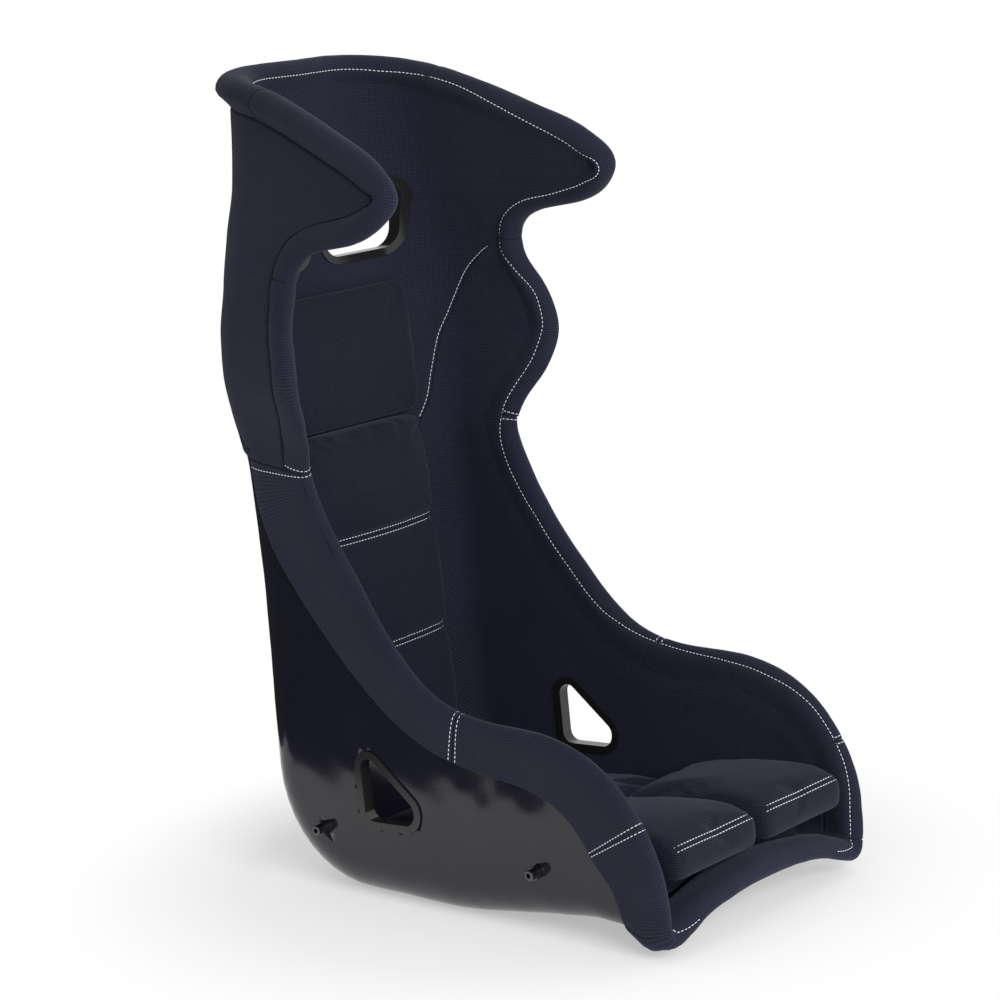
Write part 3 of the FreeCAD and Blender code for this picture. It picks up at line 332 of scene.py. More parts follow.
def spline(points):
    """Natural cubic curve through points as a function of the distance along its chords, and its length."""
    points = np.array(points, float)
    chords = np.linalg.norm(np.diff(points, axis=0), axis=1)
    knots = np.concatenate([[0.0], np.cumsum(chords)])
    count = len(points)
    matrix = np.eye(count)
    right = np.zeros_like(points)
    for i in range(1, count - 1):
        before, after = chords[i - 1], chords[i]
        matrix[i, i - 1:i + 2] = before, 2 * (before + after), after
        right[i] = 6 * ((points[i + 1] - points[i]) / after - (points[i] - points[i - 1]) / before)
    bends = np.linalg.solve(matrix, right)

    def at(places):
        places = np.clip(np.asarray(places, float), 0, knots[-1])
        i = np.clip(np.searchsorted(knots, places, side="right") - 1, 0, count - 2)
        span = chords[i][..., None]
        a = (knots[i + 1] - places)[..., None] / span
        b = 1 - a
        curve = (a ** 3 - a) * bends[i] + (b ** 3 - b) * bends[i + 1]
        return a * points[i] + b * points[i + 1] + curve * span * span / 6

    return at, knots[-1]


def evenly(points, count):
    """Points evenly spaced along a polyline."""
    along = lengths(points)
    return on_line(np.linspace(0, along[-1], count), along, points)


def sampled(points, count):
    """Evenly spaced points of the smooth curve through points."""
    at, length = spline(points)
    return evenly(at(np.linspace(0, length, 8 * count)), count)


SIDE_LINE = sampled(EDGE_LINE, 1200)


def wall_line_x(y, z):
    """X of the outer face of the left wall at a place in the side view."""
    station, height = locate(y, z)
    wall_x, _, lean, _, _ = corner(station)
    return wall_x + height * np.tan(lean)


def edge_path():
    """Edge of the shell in space, from the middle of the head round the left side to the middle of the pan."""
    points = []
    top_line = np.array(sorted(EDGE_LINE[:5]))
    head_y = float(back_y(EDGE_LINE[1][1]))
    _, foot_x, lean, radius, _ = corner(HIP_SPAN + EDGE_LINE[1][1] - PIVOT_Z)
    for share in (0.0, 0.35, 0.7, 1.0):
        points.append((share * foot_x, head_y, float(blend(top_line, head_y))))
    for share in (0.2, 0.4, 0.6, 0.8, 1.0):
        angle = share * (math.pi / 2 - lean)
        y = head_y - radius * (1 - math.cos(angle))
        points.append((foot_x + radius * math.sin(angle), y, float(blend(top_line, y))))
    start = points[-1][1] - 25.0
    side = SIDE_LINE[np.argmax(SIDE_LINE[:, 0] < start):]
    side = evenly(side, round(lengths(side)[-1] / 18.0))
    points += [(float(wall_line_x(y, z)), y, z) for y, z in side]
    station = FRONT_Y - PIVOT_Y
    _, foot_x, lean, radius, crown = corner(station)
    _, floor_z, _, _ = spine(station)
    for share in (1.0, 0.66, 0.33, 0.0):
        angle = share * (math.pi / 2 - lean)
        points.append((foot_x + radius * math.sin(angle), FRONT_Y, floor_z + radius * (1 - math.cos(angle))))
    for share in (0.75, 0.5, 0.25, 0.0):
        points.append((share * foot_x, FRONT_Y, floor_z + crown * (1 - share ** 2)))
    points = np.array(points, float)
    points[1:] = settle(points[1:], outward(points[1:]), np.zeros(len(points) - 1))
    seated = [points[0]]
    for point in points[1:]:
        if np.linalg.norm(point - seated[-1]) > 6.0:
            seated.append(point)
    seated[-1][0] = 0.0
    return np.array(seated)


class Edge:
    """The edge of the shell, measured along its length, with the frames of the padding that folds over it."""

    def __init__(self):
        at, length = spline(edge_path())
        self.points = at(np.linspace(0, length, 6000))
        self.along = lengths(self.points)
        self.length = self.along[-1]

    def at(self, places):
        return on_line(places, self.along, self.points)

    def nearest(self, y, z):
        """Distance along the edge of the point nearest to a place in the side view."""
        gaps = np.linalg.norm(self.points - (float(wall_line_x(y, z)), y, z), axis=1)
        return self.along[np.argmin(gaps)]

    def frames(self, places):
        """Edge points, directions away from the edge along the shell, and directions outwards."""
        places = np.asarray(places, float)
        points = self.at(places)
        along = unit(self.at(np.minimum(places + 2, self.length)) - self.at(np.maximum(places - 2, 0)))
        out = outward(points)
        for end, way in ((places <= 0, 1.0), (places >= self.length, -1.0)):
            along[end] = (way, 0.0, 0.0)
            out[end, 0] = 0.0
        inward = unit(np.cross(unit(out), along))
        out = unit(np.cross(along, inward))
        return settle(points, out, np.zeros(len(points))), inward, out


EDGE = Edge()
SEAMS = (SEAM_TEMPLE, SEAM_NOTCH, SEAM_UPPER, SEAM_HIP, SEAM_KNEE, (FRONT_Y, RIM_FOOT_Z))
STOPS = [0.0, *(EDGE.nearest(*seam) for seam in SEAMS), EDGE.length]     # ends of the lengths of padding
TIP = EDGE.nearest(*WING_TIP)


def eased(pair, share):
    """Value that runs softly from the first to the second of a pair."""
    return pair[0] + (pair[1] - pair[0]) * rise(share, 0, 1)


def reach(number, which, places):
    """Reach of the inner or outer hem of a length of padding, with less round the tip of the wing."""
    first, last = STOPS[number], STOPS[number + 1]
    wide = eased(RIM_LENGTHS[number][which], (places - first) / (last - first))
    return wide - TIP_PINCH * bell(places, TIP, TIP_SPAN)


def spread(first, last, spacing):
    """Places between two borders, close together beside each border."""
    inset = np.array(BORDER)
    span = last - first
    if span < 3 * inset[-1]:
        inset = inset * span / (3 * inset[-1])
    count = max(2, round((span - 2 * inset[-1]) / spacing))
    middle = np.linspace(first + inset[-1], last - inset[-1], count + 1)[1:-1]
    return np.concatenate([first + inset, middle, last - inset[::-1]])


def dip(distance):
    """How far a panel drops at a distance from its seam."""
    share = 1 - np.clip(distance / SEAM_ROUND, 0, 1)
    return SEAM_DEPTH * (1 - np.sqrt(np.maximum(1 - share ** 2, 0)))


def pull(distance):
    """Depth of the groove under a line of stitches at a distance from the seam."""
    return STITCH_PULL * bell(distance, STITCH_INSET, 1.3)


def ripple(points, size, seed):
    """Soft irregular waves between -1 and 1, the same on every run."""
    total = 0.0
    for k in range(4):
        angle = seed + 2.1 * k
        way = np.array([math.cos(angle), math.sin(1.7 * angle), math.cos(2.3 * angle + 1)])
        total = total + np.sin(points @ way * (2 * math.pi / (size * (1 + 0.37 * k))) + 5.0 * k + seed)
    return total / 4


# Ripples of the fabric in millimetres: height, length and shift of the seed of each wave
RIM_RIPPLES = ((0.5, 70.0, 1.0), (0.25, 26.0, 4.0))
PANEL_RIPPLES = ((0.45, 85.0, 0.0), (0.2, 31.0, 2.0))


def ripples(points, waves, seed):
    """Height of several waves together."""
    return sum(height * ripple(points, size, seed + shift) for height, size, shift in waves)


def grid_normals(grid):
    """Unit normals of a grid of points."""
    return unit(np.cross(np.gradient(grid, axis=0), np.gradient(grid, axis=1)))


def grid_uv(grid):
    """Cloth coordinates in metres of a grid: lengths measured across its middle row and column."""
    down = np.linalg.norm(np.diff(grid, axis=0), axis=-1)
    across = np.linalg.norm(np.diff(grid, axis=1), axis=-1)
    middle = grid.shape[1] // 2
    v = np.concatenate([[0.0], np.cumsum(down[:, middle])])[:, None] + np.zeros(grid.shape[1])
    u = np.concatenate([np.zeros((grid.shape[0], 1)), np.cumsum(across, axis=1)], axis=1)
    u = u - u[:, middle:middle + 1]
    return np.stack([u, v], -1) * MM


def read(items, name, width=3, kind=np.float32):
    """One value of all items of a mesh, such as the places of its vertices."""
    values = np.zeros(len(items) * width, kind)
    items.foreach_get(name, values)
    return values.reshape(-1, width) if width > 1 else values


def add_uv(mesh, uvs):
    """Give a mesh its cloth coordinates, one pair for each corner of its faces."""
    mesh.uv_layers.new(name="cloth").data.foreach_set("uv", np.asarray(uvs, np.float32).ravel())


def linked(name, data):
    """New object in the scene."""
    obj = bpy.data.objects.new(name, data)
    bpy.context.scene.collection.objects.link(obj)
    return obj


def make(name, verts, faces, uvs=None, smooth=True):
    """Mesh object in metres from points in millimetres."""
    mesh = bpy.data.meshes.new(name)
    mesh.from_pydata((np.asarray(verts) * MM).tolist(), [], [list(face) for face in faces])
    if uvs is not None:
        add_uv(mesh, uvs[read(mesh.loops, "vertex_index", 1, int)])
    mesh.validate()
    obj = linked(name, mesh)
    shape = bmesh.new()
    shape.from_mesh(mesh)
    bmesh.ops.recalc_face_normals(shape, faces=shape.faces)
    shape.to_mesh(mesh)
    shape.free()
    mesh.polygons.foreach_set("use_smooth", [smooth] * len(mesh.polygons))
    return obj


def grid_faces(index):
    """Four-sided faces of a grid of numbered points."""
    return np.stack([index[:-1, :-1], index[1:, :-1], index[1:, 1:], index[:-1, 1:]], -1).reshape(-1, 4)


def double_skin(name, front, back):
    """Closed piece between two grids of points that share their borders."""
    count = front[..., 0].size
    index = np.arange(count).reshape(front.shape[:2])
    quads = grid_faces(index)
    faces = [quads, quads[:, ::-1] + count]
    loop = np.concatenate([index[0, :-1], index[:-1, -1], index[-1, :0:-1], index[:0:-1, 0]])
    following = np.roll(loop, -1)
    faces.append(np.stack([loop, following, following + count, loop + count], -1))
    uvs = grid_uv(front).reshape(-1, 2)
    return make(name, np.concatenate([front.reshape(-1, 3), back.reshape(-1, 3)]), np.concatenate(faces),
                np.concatenate([uvs, uvs]))


def flip(grid):
    """The same grid on the other side of the seat."""
    return grid * (-1.0, 1.0, 1.0)


# Rim padding
WHOLE_LENGTHS = ("halo_roll", "front_lip")     # the lengths that cross the middle of the seat
FAR = 99.0                # a distance past the reach of every seam
SEAM_LINE = len(BORDER) + OUTER_LINES + SEAM_STITCH    # grid line of the stitches across the padding
whole_rows = []           # lines of stitches that cross the middle: points and outward directions
side_rows = []            # lines of stitches of the left side


def rim_profile(reach_in, reach_out, thick_in, thick_out, seam):
    """Visible skin of the padding, from the outer hem to the inner hem, as depths and distances outwards.

    Also gives the distance along it of each point and of the seam.
    """
    middle = -WALL / 2
    fall_in = -WALL - thick_in
    hem_in = -WALL - FIT - RIM_HEM_INNER + HEM_SINK - HEM_RISE - max(0.0, thick_in - RIM_THICKEST) * HEM_SHARE
    hem_out = FIT + RIM_HEM_OUTER
    turn = np.radians([90, 60, 30, 0])
    depth = RIM_ROUND - (RIM_ROUND + RIM_CAP) * np.cos(turn)
    outer = np.stack([depth, middle + (thick_out - middle) * np.sin(turn)], -1)
    inner = np.stack([depth, middle + (fall_in - middle) * np.sin(turn)], -1)[::-1][1:]
    start = [(reach_out, hem_out), ((RIM_ROUND + reach_out) / 2, (thick_out + hem_out) / 2 + 0.5)]
    share = np.array([0.25, 0.5, 0.75, 0.92, 1.0])
    end = np.stack([RIM_ROUND + (reach_in - RIM_ROUND) * share, eased((fall_in, hem_in), share)], -1)
    at, length = spline(np.concatenate([start, outer, inner, end]))
    curve = at(np.linspace(0, length, 400))
    along = lengths(curve)
    tip = np.argmin(curve[:, 0])
    spot = np.interp(seam, curve[tip:, 0], along[tip:])
    inset = np.array(SEAM_INSETS)
    room = along[-1] - spot
    inset = np.where(inset > 0, inset * min(1.0, room / (1.6 * inset[-1])), inset)
    outer_part = np.linspace(BORDER[-1], spot + inset[0], OUTER_LINES + 2)[1:-1]
    inner_part = np.linspace(spot + inset[-1], along[-1], INNER_LINES + 1)[1:]
    places = np.concatenate([BORDER, outer_part, spot + inset, inner_part])
    return on_line(places, along, curve), places, spot


def rim_slot(reach_in, reach_out, count):
    """Hidden side of the padding, against the shell, from the outer hem to the inner hem."""
    inner = -WALL - FIT
    corners = np.array([(reach_out, FIT), (-FIT, FIT), (-FIT, inner), (reach_in, inner)])
    return evenly(corners, count)


def on_shell(frames, profile):
    """Points of a profile at each frame of the edge."""
    point, inward, out = (part[:, None, :] for part in frames)
    depth, distance = profile[..., 0], profile[..., 1]
    points = point + inward * depth[..., None] + out * distance[..., None]
    return settle(points, np.broadcast_to(out, points.shape), distance)


# Looks of the front: the lip runs straighter than the shell's edge, and the foot of each side rolls down
LIP_LIFT = ((0.0, 8.0), (60.0, 8.0), (100.0, 8.0), (130.0, 6.0), (150.0, 3.0), (175.0, 1.0), (200.0, 0.0))
LIP_Y = (-300.0, -345.0)
LIP_TOP = 80.0            # above it nothing lifts, and by how much lower all of it does
LIP_FADE = 28.0
FOOT_DROP = 17.0
FOOT_X = (180.0, 200.0)
FOOT_Y = -324.0
FOOT_SPAN = 27.0
FOOT_TOP = 62.0
FOOT_FADE = 35.0
FLOOR_CLEARANCE = 4.0     # the feet stop this far above the floor
SWELL_OUT = 4.5           # extra padding outside the front of each side, from where to where on the edge
SWELL_START = (1360.0, 1460.0)
SWELL_END = (1700.0, 1780.0)


def front_shape(points):
    """Bend points in millimetres to the shape of the front lip and of the feet beside it."""
    x, y, z = np.abs(points[..., 0]), points[..., 1], points[..., 2]
    lift = blend(LIP_LIFT, x) * rise(y, *LIP_Y) * np.clip((LIP_TOP - z) / LIP_FADE, 0, 1)
    foot = rise(x, *FOOT_X) * bell(y, FOOT_Y, FOOT_SPAN) * np.clip((FOOT_TOP - z) / FOOT_FADE, 0, 1)
    lower = np.maximum(z + lift - FOOT_DROP * foot, FLOOR_CLEARANCE)
    return np.stack([points[..., 0], y, np.where(z > FLOOR_CLEARANCE, lower, z + lift)], -1)


def rim_piece(name, number):
    """One length of padding with its seams and its lines of stitches."""
    shape = RIM_LENGTHS[number][1:]
    first, last = STOPS[number], STOPS[number + 1]
    places = spread(first, last, SPACING)
    if number == 0:
        places = np.concatenate([[0.0], places[places > BORDER[-1]]])
    if number == len(RIM_LENGTHS) - 1:
        places = np.concatenate([places[places < EDGE.length - BORDER[-1]], [EDGE.length]])
    visible, hidden, across, seams = [], [], [], []
    for spot in places:
        thick = [eased(pair, (spot - first) / (last - first)) for pair in shape[2:]]
        thick[1] += SWELL_OUT * float(rise(spot, *SWELL_START) - rise(spot, *SWELL_END))
        reaches = [reach(number, which, spot) for which in (1, 2)]
        seam = min(float(blend(SEAM_PLACES, spot)), reaches[0] - SEAM_ROOM)
        for kept, value in zip((visible, across, seams), rim_profile(*reaches, *thick, seam)):
            kept.append(value)
        hidden.append(rim_slot(*reaches, len(visible[-1])))
    frames = EDGE.frames(places)
    front, back = (front_shape(on_shell(frames, np.array(part))) for part in (visible, hidden))
    across = np.array(across)
    to_start = places - first if number else np.full(len(places), FAR)
    to_end = last - places if number < len(RIM_LENGTHS) - 1 else np.full(len(places), FAR)
    ends = np.minimum(to_start, to_end)[:, None]
    runs_out = 1 - np.clip((places - SEAM_END[0]) / (SEAM_END[1] - SEAM_END[0]), 0, 1)[:, None]
    inside = across - np.array(seams)[:, None]
    sewn = np.clip(1 - inside / SEAM_ROUND, 0, 1)
    ends = ends + np.where(inside > 0, FAR * (1 - sewn), 0.0)
    ditch = DITCH_DEPTH * runs_out / (1 + (inside / DITCH_WIDTH) ** 2)
    ditch = ditch + 0.5 * STITCH_PULL * runs_out * bell(inside, SEAM_INSETS[SEAM_STITCH], 1.2)
    if name in WHOLE_LENGTHS:
        def completed(grid, other):
            return np.concatenate([grid, other[-2::-1]] if number else [other[:0:-1], grid])
        front, back = completed(front, flip(front)), completed(back, flip(back))
        ends, across, ditch = (completed(grid, grid) for grid in (ends, across, ditch))
    normal = grid_normals(front)
    middle = front.shape[1] // 2
    if np.mean(np.sum(normal[:, middle] * (front[:, middle] - back[:, middle]), -1)) < 0:
        normal = -normal
    drop = dip(ends) + 0.5 * dip(across) + pull(ends) + ditch
    soft = ripples(front, RIM_RIPPLES, number)
    calm = np.clip(np.minimum(ends, across[:, -1:] - across) / 12, 0, 1)
    front = front - normal * (drop - soft * calm)[..., None]
    line, upright = front[:, SEAM_LINE], normal[:, SEAM_LINE]
    if name == "front_lip":
        kept = places < sum(SEAM_END) / 2
        line, upright = line[:len(places)][kept], upright[:len(places)][kept]
    (side_rows if number else whole_rows).append((line, upright))
    for row, numbers in ((STITCH_LINE, (3, 4, 5)), (-1 - STITCH_LINE, (2, 3, 4))):
        if number in numbers:
            side_rows.append((front[row, 2:SEAM_LINE], normal[row, 2:SEAM_LINE]))
    return front, back


def finish_piece(obj, material, body, slot, *nodes, fill=None):
    """Give a piece its material and its body, and hide the nodes that it stands for. Its slot is not used."""
    obj.data.materials.clear()
    obj.data.materials.append(material)
    if nodes:
        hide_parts(*nodes)
    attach(obj, body)
    return obj


def runs_through(points):
    """Stations and runs of points on the shell."""
    station, height = locate(points[..., 1], points[..., 2])
    section = corner(station)
    _, foot_x, _, radius, _ = section
    x = np.abs(points[..., 0])
    on_wall, top = wall_run(section, height)
    run = np.where(height > top, on_wall, foot_x + radius * np.arctan2(x - foot_x, radius - height))
    return station, np.where(x < foot_x, x, run)


INNER_FACE = -WALL - FIT
LINER_FACE = INNER_FACE - LINING


# Hems of the padding as stations and runs on the shell
def hem_line(which, numbers):
    """Stations and runs of the hem of some lengths of padding."""
    spots = []
    for number in numbers:
        first, last = STOPS[number], STOPS[number + 1]
        places = np.linspace(first, last, max(8, round((last - first) / 6.0)))
        point, inward, out = EDGE.frames(places)
        far = reach(number, which, places) + (-HEM_UNDER if which == 1 and number < 6 else SEAM_GAP)
        middle = INNER_FACE - LINING / 2 if which == 1 else FIT + COVER / 2
        point = point + inward * far[:, None] + out * middle
        spots.append(settle(point, out, np.full(len(point), middle)))
    return runs_through(np.concatenate(spots))


def lookup(places, values):
    """Function that gives the value at a place, from places in any order."""
    order = np.argsort(places)
    places, values = places[order], values[order]
    return lambda spots: np.interp(spots, places, values)


def seam_line(stop, middle):
    """Stations and runs of the end of a length of padding, carried on across the shell."""
    point, inward, out = EDGE.frames([STOPS[stop]])
    far = np.linspace(0.0, 220.0, 80)[:, None]
    points = point + inward * far + out * middle
    return runs_through(settle(points, np.broadcast_to(out, points.shape), np.full(len(points), middle)))


def line_run(line):
    """Run across the section at which each station meets a line in the side view."""
    station, height = locate(line[:, 0], line[:, 1])
    order = np.argsort(station)
    station, height = station[order], height[order]
    return lambda places: run_of(places, np.interp(places, station, height))


inner_hem_run = lookup(*hem_line(1, range(1, 6)))
outer_hem_run = lookup(*hem_line(2, range(1, 3)))
head_hem_station = lookup(*hem_line(1, [0])[::-1])
head_hem_station_out = lookup(*hem_line(2, [0])[::-1])
lip_hem_station = lookup(*hem_line(1, [6])[::-1])
cover_foot_station = lookup(*seam_line(3, FIT + COVER / 2)[::-1])
edge_run = line_run(SIDE_LINE)

# Seam between the upper liner and the side liners: station and X, from the pan to the notch
BACK_SEAM = ((-400.0, 158.0), (120.0, 158.0), (175.0, 140.0), (220.0, 130.0), (385.0, 131.0), (408.0, 150.0),
             (435.0, 166.0), (475.0, 180.0), (519.0, 194.0), (555.0, 205.0), (589.0, 209.0), (633.0, 206.0),
             (652.0, 206.0))
SEAM_TOP = 648.0          # station where that seam reaches the padding at the notch
SEAM_TURN = 12.0          # over which it turns into the hem of the padding, to either side
HEAD_TOP = 859.0          # station of the hem under the middle of the head
BACK_TOP = 415.0          # seam between the upper liner and the back liner, behind the cushions
BACK_FOOT = 150.0
SIDE_FRONT = -291.0       # front end of the side liners
COVER_STATIONS = (417.0, 850.0)
BRANCH_Z = (536.0, 768.0)     # ends of the stitches along the seam beside the back


def run_at_x(station, x, offset):
    """Run across the section at which an offset of the outer face reaches a place along X."""
    wall_x, foot_x, lean, radius, _ = corner(station)
    turn = math.pi / 2 - lean
    bend_radius = radius + offset
    bend = np.arcsin(np.clip((x - foot_x) / bend_radius, 0, 1))
    top_x = foot_x + bend_radius * np.cos(lean)
    on_wall = foot_x + radius * turn + (x - top_x) / np.maximum(np.sin(lean), 1e-3)
    run = np.where(x > top_x, on_wall, foot_x + radius * bend)
    return np.where(x < foot_x, x, run)


def seam_run(station):
    """Run of the seam between the upper liner and a side liner."""
    run = run_at_x(station, blend(BACK_SEAM, station), LINER_FACE)
    return np.minimum(run, inner_hem_run(station) - SEAM_GAP)


def upper_side(station):
    """Outline of the upper liner: the padding's hem above the notch and the seam below it."""
    share = rise(station, SEAM_TOP - SEAM_TURN, SEAM_TOP + SEAM_TURN)
    return seam_run(station) * (1 - share) + inner_hem_run(station) * share


WARP = 90.0               # length over which a slanting end of a panel straightens out


def panel(stations, low, high, near, far, seams, foot=None, top=None, loose=1e4, spacing=SPACING, seed=1.0):
    """Front and back grids of a panel between two runs.

    foot and top give the stations of slanting ends as functions of the run.
    seams says which borders are sewn: first station, last station, low run, high run. The last two are sewn
    up to the station loose, from which they run in under the padding.
    """
    first, last = stations
    nominal = spread(first, last, spacing)[:, None]
    inset = np.array(BORDER)
    widest = np.max(high(nominal) - low(nominal))
    count = max(3, round((widest - 2 * inset[-1]) / spacing))
    share = np.linspace(0, 1, count + 1)[1:-1]
    to_foot = np.clip(1 - (nominal - first) / WARP, 0, 1) ** 2
    to_top = np.clip(1 - (last - nominal) / WARP, 0, 1) ** 2
    grid_station = nominal + np.zeros(len(share) + 2 * len(inset))
    for _ in range(5):
        lows, highs = low(grid_station), high(grid_station)
        edge = inset * np.minimum(1.0, np.maximum(highs - lows, 1.0)[:, :1] / (3 * inset[-1]))
        a, b = lows + edge[:, -1:], highs - edge[:, -1:]
        width = len(inset)
        runs = np.concatenate([lows[:, :width] + edge, (a + (b - a) * np.concatenate(
            [np.zeros(width), share, np.ones(width)]))[:, width:-width], highs[:, -width:] - edge[:, ::-1]], 1)
        grid_station = nominal + np.zeros_like(runs)
        if foot is not None:
            grid_station = grid_station + to_foot * (foot(np.abs(runs)) - first)
        if top is not None:
            grid_station = grid_station + to_top * (top(np.abs(runs)) - last)
    steep = [np.sqrt(1 + (np.gradient(line, axis=0) / np.gradient(grid_station, axis=0)) ** 2)
             for line in (lows, highs)]
    gaps = (nominal - first + 0 * runs, last - nominal + 0 * runs,
            (runs - lows) / steep[0], (highs - runs) / steep[1])
    drop, groove, lift = np.zeros((3, *runs.shape))
    nearest = np.full_like(runs, FAR)
    free = np.clip((grid_station - loose) / 10, 0, 1)
    for number, (gap, sewn) in enumerate(zip(gaps, seams)):
        nearest = np.minimum(nearest, gap)
        under = np.maximum(free, sewn == 0) if number > 1 else float(sewn == 0)
        lift = np.maximum(lift, HEM_RISE * under * bell(np.maximum(gap, HEM_UNDER), HEM_UNDER, HEM_BLEND))
        gap = gap + 30 * free if number > 1 else gap
        if sewn:
            drop = np.maximum(drop, dip(gap))
        if sewn == 2:
            groove = np.maximum(groove, pull(gap))
    side = 1.0 if far > near else -1.0
    front = skin(grid_station, runs, far)
    soft = ripples(front, PANEL_RIPPLES, seed)
    sink = np.minimum(drop + groove - lift - soft * np.clip(nearest / 16 - 0.35, 0, 1), abs(far - near) - 0.4)
    return skin(grid_station, runs, far - side * sink), skin(grid_station, runs, near)


# Cutters for the harness slots and the side fixings
SLOT_WALL = 3.0
SHOULDER_SLOT_X = (17.0, 150.0)
SHOULDER_SLOT_Z = (766.0, 852.0)
SHOULDER_SLOT_RADIUS = 24.0
LAP_SLOT = ((104.0, 201.0), (98.0, 104.0), (-11.0, 109.0))
LAP_SLOT_RADII = (14.0, 14.0, 17.0)
CROTCH_SLOT_Y = (-188.0, -152.0)
CROTCH_SLOT_X = (-34.0, 34.0)
CROTCH_SLOT_RADIUS = 12.0
BOLT_Z = 83.0
BOLT_SPACING = 345.0
COLLAR_RADIUS = 7.5
# Lengths of the cutters along their axes
SHOULDER_CUT_Y = (200.0, 420.0)
LAP_CUT_X = (150.0, 260.0)
CROTCH_CUT_Z = (-40.0, 120.0)
BOLT_CUTS_X = ((150.0, 210.0), (-210.0, -150.0))


def rounded(corners, radii, grow=SLOT_WALL, steps=8):
    """Outline of a polygon with round corners, grown outwards by the wall of the slot's moulding."""
    corners = np.array(corners, float)
    count = len(corners)
    line = []
    for i, radius in enumerate(radii):
        tip = corners[i]
        to_last, to_next = unit(corners[i - 1] - tip), unit(corners[(i + 1) % count] - tip)
        half = math.acos(np.clip(to_last @ to_next, -1, 1)) / 2
        centre = tip + unit(to_last + to_next) * radius / math.sin(half)
        a = tip + to_last * radius / math.tan(half) - centre
        b = tip + to_next * radius / math.tan(half) - centre
        sweep = math.acos(np.clip(a @ b / radius ** 2, -1, 1))
        for step in range(steps + 1):
            share = step / steps
            way = (a * math.sin((1 - share) * sweep) + b * math.sin(share * sweep)) / math.sin(sweep)
            line.append(centre + way * (radius + grow) / radius)
    return np.array(line)


def prism(outline, axis, low, high):
    """Points and faces of a prism of an outline along one axis."""
    rest = [k for k in range(3) if k != axis]
    count = len(outline)
    verts = np.zeros((2 * count, 3))
    verts[:count, axis], verts[count:, axis] = low, high
    for part in (slice(None, count), slice(count, None)):
        verts[part, rest[0]], verts[part, rest[1]] = outline[:, 0], outline[:, 1]
    sides = [[i, (i + 1) % count, count + (i + 1) % count, count + i] for i in range(count)]
    return verts, sides + [list(range(count))[::-1], list(range(count, 2 * count))]


def box_outline(across, up, radius):
    """Outline of a box with round corners."""
    (a0, a1), (b0, b1) = across, up
    return rounded([(a0, b0), (a1, b0), (a1, b1), (a0, b1)], [radius] * 4)


def circle(y, z, radius):
    return np.array([(y + radius * math.cos(a), z + radius * math.sin(a))
                     for a in np.linspace(0, 2 * math.pi, 33)[:-1]])


def cutter(*prisms):
    """One hidden object of several prisms, left and right, that holes are cut with."""
    verts, faces = [], []
    for points, sides in prisms:
        start = sum(len(part) for part in verts)
        verts.append(points)
        faces += [[start + i for i in side] for side in sides]
    obj = make("cutter", np.concatenate(verts), faces, smooth=False)
    obj.hide_render = True
    return obj


def baked(obj):
    """Mesh of a piece with its modifiers applied."""
    return bpy.data.meshes.new_from_object(obj.evaluated_get(bpy.context.evaluated_depsgraph_get()))


def modified(obj, kind, **settings):
    """Apply one modifier to a piece."""
    change = obj.modifiers.new(kind.lower(), kind)
    for name, value in settings.items():
        setattr(change, name, value)
    mesh = baked(obj)
    obj.modifiers.clear()
    obj.data = mesh


def cut(obj, *prisms):
    """Cut prisms out of a piece."""
    tool = cutter(*prisms)
    modified(obj, "BOOLEAN", operation="DIFFERENCE", solver="EXACT", object=tool)
    bpy.data.objects.remove(tool)


def both_sides(points, sides):
    """A prism and its mirror image."""
    return (points, sides), (flip(points), sides)


shoulder_line = box_outline(SHOULDER_SLOT_X, SHOULDER_SLOT_Z, SHOULDER_SLOT_RADIUS)
shoulder_cuts = both_sides(*prism(shoulder_line, 1, *SHOULDER_CUT_Y))
lap_cuts = both_sides(*prism(rounded(LAP_SLOT, LAP_SLOT_RADII), 0, *LAP_CUT_X))
crotch_cut = prism(box_outline(CROTCH_SLOT_X, CROTCH_SLOT_Y, CROTCH_SLOT_RADIUS), 2, *CROTCH_CUT_Z)


# Materials
class Nodes:
    """Small helper that adds nodes to a tree and links them."""

    def __init__(self, tree):
        self.tree = tree

    def feed(self, node, inputs):
        """Set the inputs of a node to values or to the outputs of other nodes."""
        for key, value in dict(inputs).items():
            if isinstance(value, bpy.types.NodeSocket):
                self.tree.links.new(value, node.inputs[key])
            else:
                node.inputs[key].default_value = value

    def node(self, kind, inputs=(), **settings):
        node = self.tree.nodes.new("ShaderNode" + kind)
        for key, value in settings.items():
            setattr(node, key, value)
        self.feed(node, inputs)
        return node

    def math(self, operation, *values):
        return self.node("Math", enumerate(values), operation=operation).outputs[0]


class Surface(Nodes):
    """The nodes of a new material, whose patterns lie still on the object."""

    def __init__(self, name):
        self.material = bpy.data.materials.new(name)
        self.material.use_nodes = True
        super().__init__(self.material.node_tree)
        self.shader = self.tree.nodes["Principled BSDF"]
        self.place = self.node("TexCoord").outputs["Object"]

    def mix(self, factor, a, b):
        return self.node("Mix", {0: factor, 6: (*a, 1), 7: (*b, 1)}, data_type="RGBA").outputs[2]

    def noise(self, scale, detail=2.0, roughness=0.5):
        inputs = {"Vector": self.place, "Scale": scale, "Detail": detail, "Roughness": roughness}
        return self.node("TexNoise", inputs).outputs["Fac"]

    def finished(self, colour, roughness, height, strength, distance, others=()):
        """The material with its colour, its roughness, its relief and other values of its shader."""
        relief = self.node("Bump", {"Height": height, "Strength": strength, "Distance": distance}).outputs[0]
        self.feed(self.shader, {"Base Color": colour, "Roughness": roughness, "Normal": relief, **dict(others)})
        return self.material


KNIT_CELL = 0.0031        # pitch of the knit, in metres


